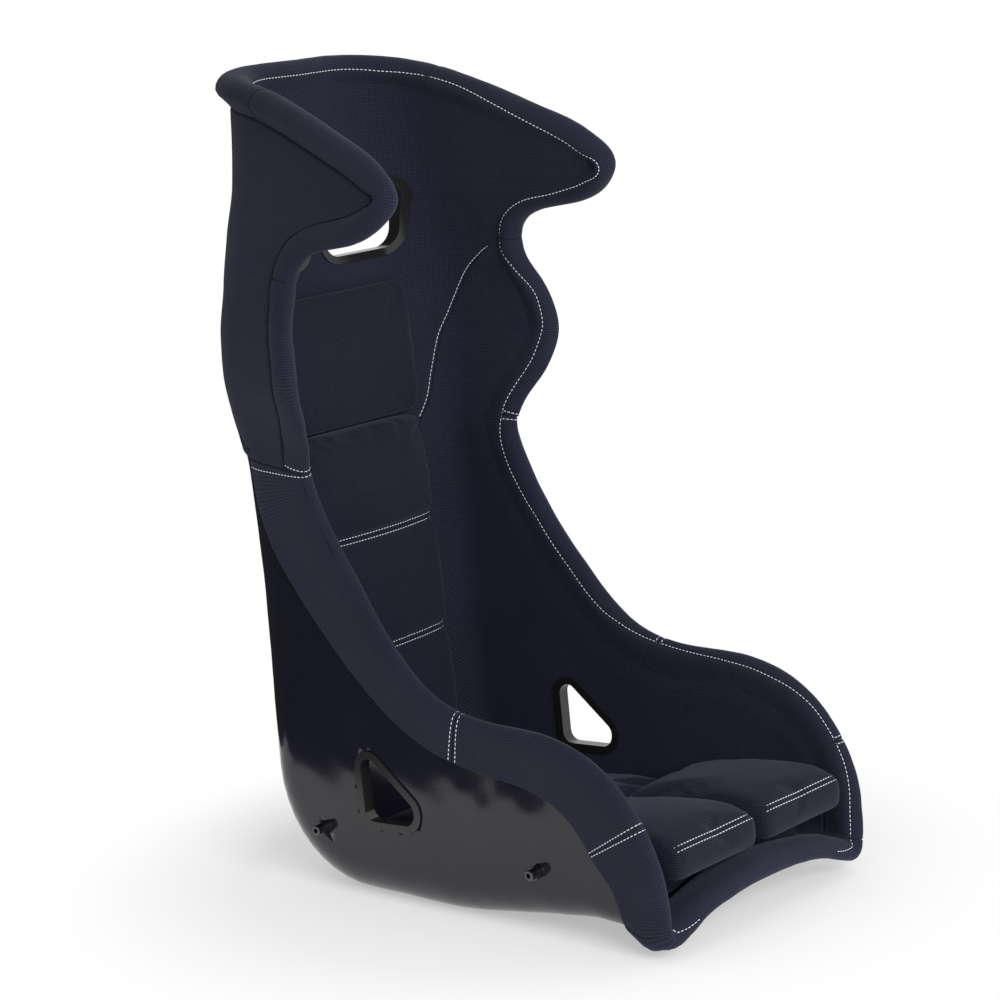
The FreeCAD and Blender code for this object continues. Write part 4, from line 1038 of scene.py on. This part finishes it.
def fabric(name, light, dark):
    """Spacer knit: a lattice of small eyelets with a soft pile between them."""
    n = Surface(name)
    uv = n.node("SeparateXYZ", {0: n.node("UVMap").outputs[0]}).outputs
    waves = [n.math("COSINE", n.math("MULTIPLY", n.math(way, uv[0], uv[1]), math.pi / KNIT_CELL))
             for way in ("ADD", "SUBTRACT")]
    height = n.math("MULTIPLY_ADD", n.math("MULTIPLY", *waves), 0.5, 0.5)
    fuzz, cloud = n.noise(1400.0, 3.0, 0.6), n.noise(9.0, 3.0, 0.55)
    eyelets = n.math("SMOOTH_MIN", n.math("MAXIMUM", n.math("MULTIPLY_ADD", height, 2.4, -0.75), 0.0), 1.0, 0.3)
    tone = n.math("MULTIPLY_ADD", fuzz, 0.40, n.math("MULTIPLY", eyelets, 0.80))
    tone = n.math("ADD", tone, n.math("MULTIPLY_ADD", cloud, 0.40, -0.25))
    return n.finished(n.mix(tone, dark, light), 0.92, n.math("MULTIPLY_ADD", fuzz, 0.35, height), 0.8, 0.0005,
                      {"Specular IOR Level": 0.25, "Sheen Weight": 0.10, "Sheen Roughness": 0.45,
                       "Sheen Tint": (0.55, 0.60, 0.80, 1)})


def grained(name, grain, colours, rough, relief, others=()):
    """Material that follows noise.

    grain: scale, detail and roughness of the noise. colours: at its low and its high values.
    rough: roughness, or the share of the noise in it and its least value.
    relief: scale of noise of its own or None, strength and distance.
    """
    n = Surface(name)
    grain = n.noise(*grain)
    height = n.noise(relief[0]) if relief[0] else grain
    rough = n.math("MULTIPLY_ADD", grain, *rough) if isinstance(rough, tuple) else rough
    return n.finished(n.mix(grain, *colours), rough, height, *relief[1:], others)


def steel(name, tone, rough):
    """Dark plated steel with fine turning marks."""
    return grained(name, (900.0, 3.0, 0.6), (tone, [1.5 * value for value in tone]), (0.15, rough),
                   (None, 0.1, 0.0002), {"Metallic": 1.0})


def hook_tape():
    """Black hook tape: rows of small hooks."""
    n = Surface("hook_tape")
    dots = n.node("TexVoronoi", {"Vector": n.place, "Scale": 700.0}).outputs["Distance"]
    return n.finished(n.mix(dots, (0.030, 0.030, 0.032), (0.010, 0.010, 0.011)), 0.7, dots, 0.7, 0.0006)


def plain_floor():
    """Matt pale floor mixed with a white glow: painted light that lifts the seat's shadow near it and turns the
    floor to the white of the background away from the seat.
    """
    n = Surface("floor_white")
    n.feed(n.shader, {"Base Color": n.mix(n.noise(1.5), (0.965, 0.965, 0.980), (0.975, 0.975, 0.990)),
                      "Roughness": 0.9, "Specular IOR Level": 0.0})
    far = n.node("VectorMath", {0: n.place}, operation="LENGTH").outputs["Value"]
    # painted light: at least 0.42 of the white glow even beside the seat, where it lifts the seat's shadow
    away = n.math("SMOOTH_MIN", n.math("MAXIMUM", n.math("MULTIPLY_ADD", far, 2.6, -0.55), 0.42), 1.0, 0.2)
    both = n.node("MixShader", {0: away, 1: n.shader.outputs[0], 2: n.node("Emission").outputs[0]})
    n.feed(n.tree.nodes["Material Output"], {"Surface": both.outputs[0]})
    return n.material


TRIM = fabric("trim_knit", (0.0190, 0.0215, 0.0430), (0.0026, 0.0031, 0.0100))
CUSHION = fabric("cushion_knit", (0.0118, 0.0138, 0.0290), (0.0015, 0.0019, 0.0064))
# Black gelcoat with a faint orange peel and handling haze
GELCOAT = grained("gelcoat_black", (14.0, 4.0, 0.6), ((0.007, 0.007, 0.012), (0.010, 0.010, 0.017)),
                  (0.10, 0.05), (240.0, 0.06, 0.0003))
MOULDED = grained("slot_moulding", (40.0, 3.0, 0.6), ((0.009, 0.009, 0.010), (0.013, 0.013, 0.014)),
                  (0.10, 0.14), (700.0, 0.08, 0.0002))
BOLT_STEEL = steel("bolt_steel", (0.10, 0.10, 0.11), 0.25)
INSERT_STEEL = steel("insert_steel", (0.14, 0.14, 0.15), 0.3)
HOOKS = hook_tape()
# Pale polyester sewing thread with its twist
THREAD = grained("thread_pale", (2200.0,), ((0.70, 0.72, 0.78), (0.95, 0.96, 0.98)), 0.6, (None, 0.4, 0.0002))


# Pieces that follow the shell
SHELL_STATIONS = (-336.0, 890.0)
SHELL_SPACING = 9.0


def front_lift(points):
    """The shell's front edge follows the lip that covers it."""
    lift = front_shape(points)[..., 2] - points[..., 2]
    return points + np.maximum(lift, 0.0)[..., None] * (0.0, 0.0, 1.0)


def shell_piece():
    """Gloss shell with its slots and the holes of its inserts."""
    front, back = panel(SHELL_STATIONS, lambda s: -edge_run(s), edge_run, -WALL, 0.0, (0, 0, 0, 0),
                        spacing=SHELL_SPACING)
    front[..., 2] = np.maximum(front[..., 2], 0.0)
    obj = double_skin("shell_gelcoat", front_lift(front), front_lift(back))
    holes = [prism(circle(y, BOLT_Z, COLLAR_RADIUS + FIT), 0, *ends)
             for y in (-BOLT_SPACING / 2, BOLT_SPACING / 2) for ends in BOLT_CUTS_X]
    cut(obj, *shoulder_cuts, *lap_cuts, crotch_cut, *holes)
    finish_piece(obj, GELCOAT, "seat", "gelcoat", "shell")


def trimmed(name, node, front, back, fill=0.5, cuts=()):
    """Piece of trim fabric from two grids, with holes cut through it."""
    obj = double_skin(name, front, back)
    if cuts:
        cut(obj, *cuts)
    return finish_piece(obj, TRIM, "seat", "trim_fabric", node, fill=fill)


def mirror_image(obj, name):
    """Copy of a piece on the other side of the seat."""
    mesh = obj.data.copy()
    mesh.name = name
    mesh.vertices.foreach_set("co", (read(mesh.vertices, "co") * np.float32((-1, 1, 1))).ravel())
    mesh.flip_normals()
    mesh.update()
    return linked(name, mesh)


def build_liners():
    """Linings of the inside, with the stitches of the seam that branches off the padding."""
    upper = panel((BACK_TOP, HEAD_TOP), lambda s: -upper_side(s), upper_side, INNER_FACE, LINER_FACE,
                  (1, 0, 2, 2), top=head_hem_station, loose=SEAM_TOP - 8, seed=2.0)
    trimmed("head_liner_cloth", "head_liner", *upper, cuts=shoulder_cuts)
    back = panel((BACK_FOOT, BACK_TOP), lambda s: -seam_run(s), seam_run, INNER_FACE, LINER_FACE,
                 (1, 1, 1, 1), seed=3.0)
    trimmed("back_liner_cloth", "back_liner", *back)
    side = panel((SIDE_FRONT, SEAM_TOP), seam_run, inner_hem_run, INNER_FACE, LINER_FACE,
                 (1, 0, 1, 0), foot=lip_hem_station, seed=4.0)
    left = trimmed("side_liner_cloth_left", "side_liner_left", *side, cuts=lap_cuts[:1])
    right = mirror_image(left, "side_liner_cloth_right")
    finish_piece(right, TRIM, "seat", "trim_fabric", "side_liner_right", fill=0.5)
    seam = upper[0][:, -1 - STITCH_LINE]
    keep = (seam[:, 2] > BRANCH_Z[0]) & (seam[:, 2] < BRANCH_Z[1])
    side_rows.append((seam[keep], grid_normals(upper[0])[:, -1 - STITCH_LINE][keep]))


def build_covers():
    """Fabric on the outside of head and shoulders."""
    front, back = panel(COVER_STATIONS, lambda s: run_of(s, np.full_like(s, COVER_BACK)), outer_hem_run,
                        FIT, FIT + COVER, (1, 1, 1, 1), foot=lambda run: cover_foot_station(run) + 0.6,
                        top=head_hem_station_out, seed=6.0)
    trimmed("outer_cover_cloth_left", "outer_cover_left", front, back)
    trimmed("outer_cover_cloth_right", "outer_cover_right", flip(front), flip(back))


def build_rim():
    """Padding round the edge."""
    for number, (name, *_) in enumerate(RIM_LENGTHS):
        front, back = rim_piece(name, number)
        if name in WHOLE_LENGTHS:
            trimmed(name + "_cloth", name, front, back, fill=0.8)
            continue
        trimmed(name + "_cloth_left", name + "_left", front, back, fill=0.8)
        trimmed(name + "_cloth_right", name + "_right", flip(front), flip(back), fill=0.8)


# Cushions
VOXEL = 0.005             # grid of a cushion's skin, in metres
SHRINK = 0.002            # how far the skin goes in before it swells
PRESSURE = 4.0
SWELL_LIMIT = 0.006
CLOTH_FRAMES = 20
CLOTH = {"quality": 6, "mass": 0.25, "tension_stiffness": 12, "compression_stiffness": 12, "shear_stiffness": 6,
         "bending_stiffness": 0.6, "use_pressure": True, "uniform_pressure_force": PRESSURE,
         "vertex_group_mass": "pin"}


def from_node(node, name):
    """Copy of a node's mesh as a new piece."""
    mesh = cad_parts[node].data.copy()
    mesh.name = name
    mesh.materials.clear()
    return linked(name, mesh)


def positions(obj):
    return read(obj.data.vertices, "co").astype(float)


def normals_of(obj):
    return read(obj.data.vertex_normals, "vector").astype(float)


def move_to(obj, points):
    obj.data.vertices.foreach_set("co", np.asarray(points, np.float32).ravel())
    obj.data.update()


def box_uv(obj):
    """Cloth coordinates in metres from the side that each face looks to."""
    mesh = obj.data
    while mesh.uv_layers:
        mesh.uv_layers.remove(mesh.uv_layers[0])
    axis = np.argmax(np.abs(read(mesh.polygons, "normal")), axis=1)
    axis = np.repeat(axis, read(mesh.polygons, "loop_total", 1, int))
    place = positions(obj)[read(mesh.loops, "vertex_index", 1, int)]
    add_uv(mesh, np.stack([np.where(axis == 0, place[:, 1], place[:, 0]),
                           np.where(axis == 2, place[:, 1], place[:, 2])], -1))


def remeshed(obj):
    """Even out the grid of a piece from a solid."""
    modified(obj, "REMESH", mode="VOXEL", voxel_size=VOXEL)
    modified(obj, "CORRECTIVE_SMOOTH", iterations=6, use_only_smooth=True)


def inflate(obj, pinned):
    """Let the cover of a cushion swell under pressure, held where it is pinned, with its movement capped."""
    rest = positions(obj)
    obj.vertex_groups.new(name="pin").add(np.nonzero(pinned)[0].tolist(), 1.0, "REPLACE")
    change = obj.modifiers.new("cloth", "CLOTH")
    for name, value in CLOTH.items():
        setattr(change.settings, name, value)
    change.settings.effector_weights.gravity = 0
    change.point_cache.frame_start = 1
    change.point_cache.frame_end = CLOTH_FRAMES
    for step in range(1, CLOTH_FRAMES + 1):
        bpy.context.scene.frame_set(step)
    shift = read(baked(obj).vertices, "co") - rest
    obj.modifiers.clear()
    length = np.linalg.norm(shift, axis=1, keepdims=True)
    move_to(obj, rest + shift * np.minimum(1, SWELL_LIMIT / np.maximum(length, 1e-9)))
    obj.vertex_groups.clear()
    bpy.context.scene.frame_set(1)


def block(name, half, radius, shape, spacing=5.0):
    """Closed box of a fine grid with round edges, bent by a function of its points in millimetres."""
    half = np.array(half, float)
    parts, quads, start = [], [], 0
    for axis in range(3):
        others = [k for k in range(3) if k != axis]
        lines = [np.linspace(-half[k], half[k], round(2 * half[k] / spacing) + 1) for k in others]
        a, b = np.meshgrid(*lines, indexing="ij")
        faces = grid_faces(np.arange(a.size).reshape(a.shape))
        for sign in (-1.0, 1.0):
            points = np.zeros((a.size, 3))
            points[:, axis] = sign * half[axis]
            points[:, others[0]], points[:, others[1]] = a.ravel(), b.ravel()
            parts.append(points)
            quads.append(faces + start)
            start += a.size
    points, places = np.unique(np.round(np.concatenate(parts), 4), axis=0, return_inverse=True)
    core = np.clip(points, radius - half, half - radius)
    return make(name, shape(core + radius * unit(points - core)), places.ravel()[np.concatenate(quads)])


def clothed(obj, *finish, fill):
    """Smooth skin with cloth coordinates and the finish of a piece from a solid."""
    obj.data.polygons.foreach_set("use_smooth", [True] * len(obj.data.polygons))
    box_uv(obj)
    return finish_piece(obj, *finish, fill=fill)


def cushion(node, name, body, pinned, creases=None, source=None, end=None):
    """Cushion from its solid or a finer block: remeshed, swollen as cloth and creased at its seams."""
    obj = source or from_node(node, name)
    remeshed(obj)
    if end is not None:
        move_to(obj, reached(positions(obj), *end))
    move_to(obj, positions(obj) - normals_of(obj) * SHRINK)
    inflate(obj, pinned(positions(obj)))
    modified(obj, "SUBSURF", levels=1, render_levels=1)
    if creases is not None:
        points = positions(obj)
        move_to(obj, points + creases(points, normals_of(obj)))
    return clothed(obj, CUSHION, body, "cushion_fabric", node, fill=0.7)


LUMBAR_CHANNELS = (263.0, 411.0)
CHANNEL_HALF = 3.6        # distance of each line of stitches from the middle of a channel
LUMBAR_STITCH_HALF = 132.0
BASE_TOP = ((-370.0, 62.0), (-340.0, 84.0), (-300.0, 84.0), (-150.0, 62.0), (0.0, 46.0), (150.0, 40.0))
THIGH_PAD_Y = (-360.0, -134.0)
THIGH_PAD_X = (5.0, 175.0)
THIGH_PAD_THICK = 58.0
THIGH_PAD_ROUND = 15.0
PAD_SLOPE = 15.0          # fall of the pads' top towards their front
PAD_SLOPE_LENGTH = 48.0
PAD_CROWN = 4.0           # extra thickness along their middle
PAD_OVERHANG_Y = -330.0   # in front of it their underside is free of the foam
PAD_ROWS = ((-351.0, 133.0), (-354.5, 127.5))     # stitches on the front edge of the pads, as Y and Z
PAD_REAR_ROWS = (-141.0, -146.5)
# What holds still while a cushion swells: distance from the back, from a channel and from the base foam
PINNED_BEHIND = 24.0
PINNED_AT_SEAM = 5.0
PINNED_BELOW = 9.0
# Depth and width of the grooves under the stitches and of the channels
LUMBAR_GROOVE = 1.3
PAD_GROOVE = 0.9
GROOVE_WIDTH = 1.8
CHANNEL_DEPTH = 3.4
CHANNEL_WIDTH = 11.0
PAD_FRONT = -315.0        # the front grooves of the pads begin here, over the next length
PAD_FRONT_FADE = 6.0
# Ends of cushions that reach to the next one, in metres: height at which that starts, span and shift
LUMBAR_TOP = (0.500, 0.045, 0.0025)
BACK_PAD_FOOT = (0.590, -0.040, -0.0022)


def pinned_behind(points):
    """The rear face and the sewn lines of a cushion on the back hold still."""
    y, z = points[:, 1] / MM, points[:, 2] / MM
    still = back_y(z) - y < PINNED_BEHIND
    for channel in LUMBAR_CHANNELS:
        still |= np.abs(z - channel) < PINNED_AT_SEAM
    return still


def pinned_below(points):
    """The underside of a cushion on the base foam holds still."""
    return points[:, 2] / MM - blend(BASE_TOP, points[:, 1] / MM) < PINNED_BELOW


def lumbar_creases(points, normals):
    """Grooves of the two sewn channels of the lumbar cushion."""
    z = points[:, 2] / MM
    depth = np.zeros(len(z))
    for channel in LUMBAR_CHANNELS:
        rows = channel - CHANNEL_HALF, channel + CHANNEL_HALF
        depth += LUMBAR_GROOVE * sum(bell(z, row, GROOVE_WIDTH) for row in rows)
        depth += CHANNEL_DEPTH * bell(z, channel, CHANNEL_WIDTH)
    return -normals * (depth * np.clip(-normals[:, 1] * 3 - 0.3, 0, 1) * MM)[:, None]


def reached(points, start, span, shift):
    """Points with one end of a cushion drawn out to the cushion beside it."""
    points[:, 2] += np.clip((points[:, 2] - start) / span, 0, 1) ** 2 * shift
    return points


def pad_shape(points):
    """Thigh pad on the base foam from a box about the origin: its top falls towards the front."""
    x = points[:, 0] + sum(THIGH_PAD_X) / 2
    y = points[:, 1] + sum(THIGH_PAD_Y) / 2
    fall = np.clip(1 - (y - THIGH_PAD_Y[0]) / PAD_SLOPE_LENGTH, 0, 1) ** 1.6
    across = 1 - (points[:, 0] / (np.ptp(THIGH_PAD_X) / 2)) ** 2
    thick = THIGH_PAD_THICK - PAD_SLOPE * fall + PAD_CROWN * across
    free = blend(BASE_TOP, np.full_like(y, PAD_OVERHANG_Y)) + 0.1 * (PAD_OVERHANG_Y - y)
    foot = np.where(y < PAD_OVERHANG_Y, free, blend(BASE_TOP, y) + 0.6)
    return np.stack([x, y, foot + (points[:, 2] / THIGH_PAD_THICK + 0.5) * thick], -1)


def pad_creases(points, normals):
    """Grooves under the stitches of the thigh pads."""
    y, z = points[:, 1] / MM, points[:, 2] / MM
    depth = np.zeros(len(y))
    for _, row_z in PAD_ROWS:
        depth += PAD_GROOVE * bell(z, row_z, GROOVE_WIDTH) * np.clip((PAD_FRONT - y) / PAD_FRONT_FADE, 0, 1)
    for row_y in PAD_REAR_ROWS:
        depth += PAD_GROOVE * bell(y, row_y, GROOVE_WIDTH) * np.clip(normals[:, 2] * 3, 0, 1)
    return -normals * (depth * MM)[:, None]


# Stitches
STITCH_LENGTH = 4.0
STITCH_GAP = 1.5
THREAD_RADIUS = 0.5
# Along each stitch: share of its length, height of its middle over the cloth and thickness, in thread radii
BEAD = ((0.0, -0.9, 0.55), (0.12, 0.05, 0.95), (0.5, 0.35, 1.0), (0.88, 0.05, 0.95), (1.0, -0.9, 0.55))
BEAD_SIDES = 6


def evened(values, passes=6):
    """Soften the small steps of a line of points from a mesh."""
    for _ in range(passes):
        values = np.concatenate([values[:1], (values[:-2] + 2 * values[1:-1] + values[2:]) / 4, values[-1:]])
    return values


def cast_row(obj, across, y, z, way):
    """Points and normals where rays from a line along X first meet a piece."""
    tree = BVHTree.FromObject(obj, bpy.context.evaluated_depsgraph_get())
    hits = [tree.ray_cast(Vector(np.array((x, y, z)) * MM), Vector(way))[:2] for x in across]
    hits = [hit for hit in hits if hit[0] is not None and hit[1].dot(Vector(way)) < -0.2]
    return evened(np.array([spot for spot, _ in hits]) / MM), evened(np.array([normal for _, normal in hits]))


def stitch_row(points, outward):
    """Start, end and outward direction of each stitch along a line."""
    along = lengths(points)
    count = int(along[-1] // (STITCH_LENGTH + STITCH_GAP))
    if count < 1:
        return []
    starts = (np.arange(count) + 0.5) * along[-1] / count - STITCH_LENGTH / 2
    normals = unit(on_line(starts + STITCH_LENGTH / 2, along, outward))
    return list(zip(on_line(starts, along, points), on_line(starts + STITCH_LENGTH, along, points), normals))


def stitches(name, rows, body="seat"):
    """One piece of all the stitches of some lines: flat-ended beads of thread that dip into the cloth."""
    verts, faces = [], []
    ring = np.linspace(0, 2 * math.pi, BEAD_SIDES + 1)[:-1]
    for row in rows:
        for start, end, normal in stitch_row(*row):
            side = unit(np.cross(normal, unit(end - start)))
            base = len(verts)
            for share, lift, size in BEAD:
                centre = start + (end - start) * share + normal * (THREAD_RADIUS * lift)
                for angle in ring:
                    way = side * math.cos(angle) + normal * math.sin(angle)
                    verts.append(centre + way * THREAD_RADIUS * size)
            for a in range(base, len(verts) - BEAD_SIDES, BEAD_SIDES):
                b = a + BEAD_SIDES
                for i in range(BEAD_SIDES):
                    j = (i + 1) % BEAD_SIDES
                    faces.append((a + i, a + j, b + j, b + i))
            faces.append(range(base + BEAD_SIDES - 1, base - 1, -1))
            faces.append(range(len(verts) - BEAD_SIDES, len(verts)))
    finish_piece(make(name, np.array(verts), faces), THREAD, body, "trim_fabric")


def flipped(rows):
    """Rows of stitches on the other side of the seat."""
    return [(flip(points), flip(outward)) for points, outward in rows]


# Build every piece
shell_piece()
build_rim()
build_liners()
build_covers()
stitches("rim_stitches", whole_rows + side_rows + flipped(side_rows))

lumbar = cushion("lumbar_cushion", "lumbar_cushion_cover", "lumbar_cushion_body", pinned_behind,
                 creases=lumbar_creases, end=LUMBAR_TOP)
cushion("upper_back_pad", "upper_back_pad_cover", "seat", pinned_behind, end=BACK_PAD_FOOT)
cushion("seat_cushion", "seat_cushion_cover", "seat_cushion_body", pinned_below)
across = np.linspace(-LUMBAR_STITCH_HALF, LUMBAR_STITCH_HALF, 90)
stitches("lumbar_stitches", [cast_row(lumbar, across, -200.0, channel + side, (0, 1, 0))
                             for channel in LUMBAR_CHANNELS for side in (-CHANNEL_HALF, CHANNEL_HALF)],
         "lumbar_cushion_body")

pad_box = block("thigh_pad_cover_left", (np.ptp(THIGH_PAD_X) / 2, np.ptp(THIGH_PAD_Y) / 2, THIGH_PAD_THICK / 2),
                THIGH_PAD_ROUND, pad_shape)
pad = cushion("thigh_pad_left", "thigh_pad_cover_left", "thigh_pad_left_body", pinned_below,
              creases=pad_creases, source=pad_box)
across = np.linspace(THIGH_PAD_X[0] + 9, THIGH_PAD_X[1] - 9, 60)
rows = [cast_row(pad, across, y - 60.0, z + 50.0, (0, 0.77, -0.64)) for y, z in PAD_ROWS]
rows += [cast_row(pad, across, y, 250.0, (0, 0, -1)) for y in PAD_REAR_ROWS]
other = mirror_image(pad, "thigh_pad_cover_right")
finish_piece(other, CUSHION, "thigh_pad_right_body", "cushion_fabric", "thigh_pad_right", fill=0.7)
stitches("thigh_pad_stitches_left", rows, "thigh_pad_left_body")
stitches("thigh_pad_stitches_right", flipped(rows), "thigh_pad_right_body")

foam = from_node("base_foam", "base_foam_cloth")
remeshed(foam)
modified(foam, "SUBSURF", levels=1, render_levels=1)
clothed(foam, TRIM, "seat", "trim_fabric", "base_foam", fill=0.9)

# Nodes of the frame that stay as they are, with their materials
CARRIED = (
    (MOULDED, ("shoulder_slot_liner_left", "shoulder_slot_liner_right", "lap_slot_liner_left",
               "lap_slot_liner_right", "crotch_slot_liner")),
    (BOLT_STEEL, ("side_bolts", "side_washers")),
    (INSERT_STEEL, ("side_inserts",)),
    (HOOKS, ("lumbar_tapes", "seat_tapes", "thigh_pad_tapes")),
)
for material, nodes in CARRIED:
    for node in nodes:
        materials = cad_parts[node].data.materials
        for i in range(len(materials)):
            materials[i] = material
        if not materials:
            materials.append(material)


# Floor, light and camera
SKY_FILL = 0.6            # soft light of the room on matt surfaces, next to 1 for what the camera sees
FLOOR_Z = -0.6
FLOOR_HALF = 9000.0
# The gelcoat mirrors two dark boards that end the pale floor beside and behind the seat: seen only in
# reflections, they paint the dark reflection of the room's shade
BOARD_X = -565.0
BOARD_Y = 850.0
BOARD_TOP = 2600.0


def plane(name, corners, material):
    """Flat piece of the stage."""
    obj = make(name, np.array(corners), [(0, 1, 2, 3)], smooth=False)
    obj.data.materials.append(material)
    obj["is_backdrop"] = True
    return obj


def dark_board(name, start, end):
    """Black upright board outside the view, seen only in the gelcoat's reflection: a painted dark reflection of
    the room's shade.
    """
    n = Surface(name)
    tint = n.mix(n.noise(3.0), (0.008, 0.008, 0.009), (0.012, 0.012, 0.013))
    n.feed(n.shader, {"Base Color": tint, "Roughness": 0.9})
    obj = plane(name, [(*start, 0), (*end, 0), (*end, BOARD_TOP), (*start, BOARD_TOP)], n.material)
    obj.visible_camera = False
    obj.visible_shadow = False
    obj.visible_diffuse = False


dark_board("dark_side", (BOARD_X, -BOARD_TOP), (BOARD_X, BOARD_Y))
dark_board("dark_back", (BOARD_X, BOARD_Y), (500, BOARD_Y))
plane("floor", [(x * FLOOR_HALF, y * FLOOR_HALF, FLOOR_Z) for x, y in ((-1, -1), (1, -1), (1, 1), (-1, 1))],
      plain_floor())

scene = bpy.context.scene
scene.world = bpy.data.worlds.new("studio")
scene.world.use_nodes = True
sky = Nodes(scene.world.node_tree)
rays = sky.node("LightPath").outputs
seen = rays["Is Camera Ray"]
for ray in ("Is Glossy Ray", "Is Transmission Ray"):
    seen = sky.math("MAXIMUM", seen, rays[ray])
sky.feed(sky.tree.nodes["Background"], {"Color": (1, 1, 1, 1),
                                        "Strength": sky.math("MULTIPLY_ADD", seen, 1.0 - SKY_FILL, SKY_FILL)})

softbox = bpy.data.lights.new("front_softbox", "AREA")
softbox.shape = "RECTANGLE"
softbox.size, softbox.size_y = 2.4, 1.6
softbox.energy = 120.0
place, target = Vector((-1.6, -3.4, 1.9)), Vector((0.0, 0.0, 0.45))
turn = (target - place).to_track_quat("-Z", "Y").to_matrix().to_4x4()
linked("front_softbox", softbox).matrix_world = Matrix.Translation(place) @ turn

# Camera solved from the photo: its lens, place and directions
camera = bpy.data.cameras.new("camera")
camera.sensor_fit = "HORIZONTAL"
camera.sensor_width = 36.0
camera.lens = 114.05
camera.clip_end = 100.0
right, down, ahead = (Vector(v) for v in ((0.63637298, -0.76940495, -0.05518563),
                                          (-0.18996115, -0.08697418, -0.97793162),
                                          (0.74762571, 0.63281238, -0.20150507)))
turn = Matrix((right, -down, -ahead)).transposed().to_4x4()
scene.camera = linked("camera", camera)
scene.camera.matrix_world = Matrix.Translation((-2.956257, -2.475933, 1.273221)) @ turn
scene.view_settings.view_transform = "Standard"

plain = lambda box: [[float(v) for v in corner_point] for corner_point in box]
{"cad": plain(CAD_BOX), "visual": plain(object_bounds())}
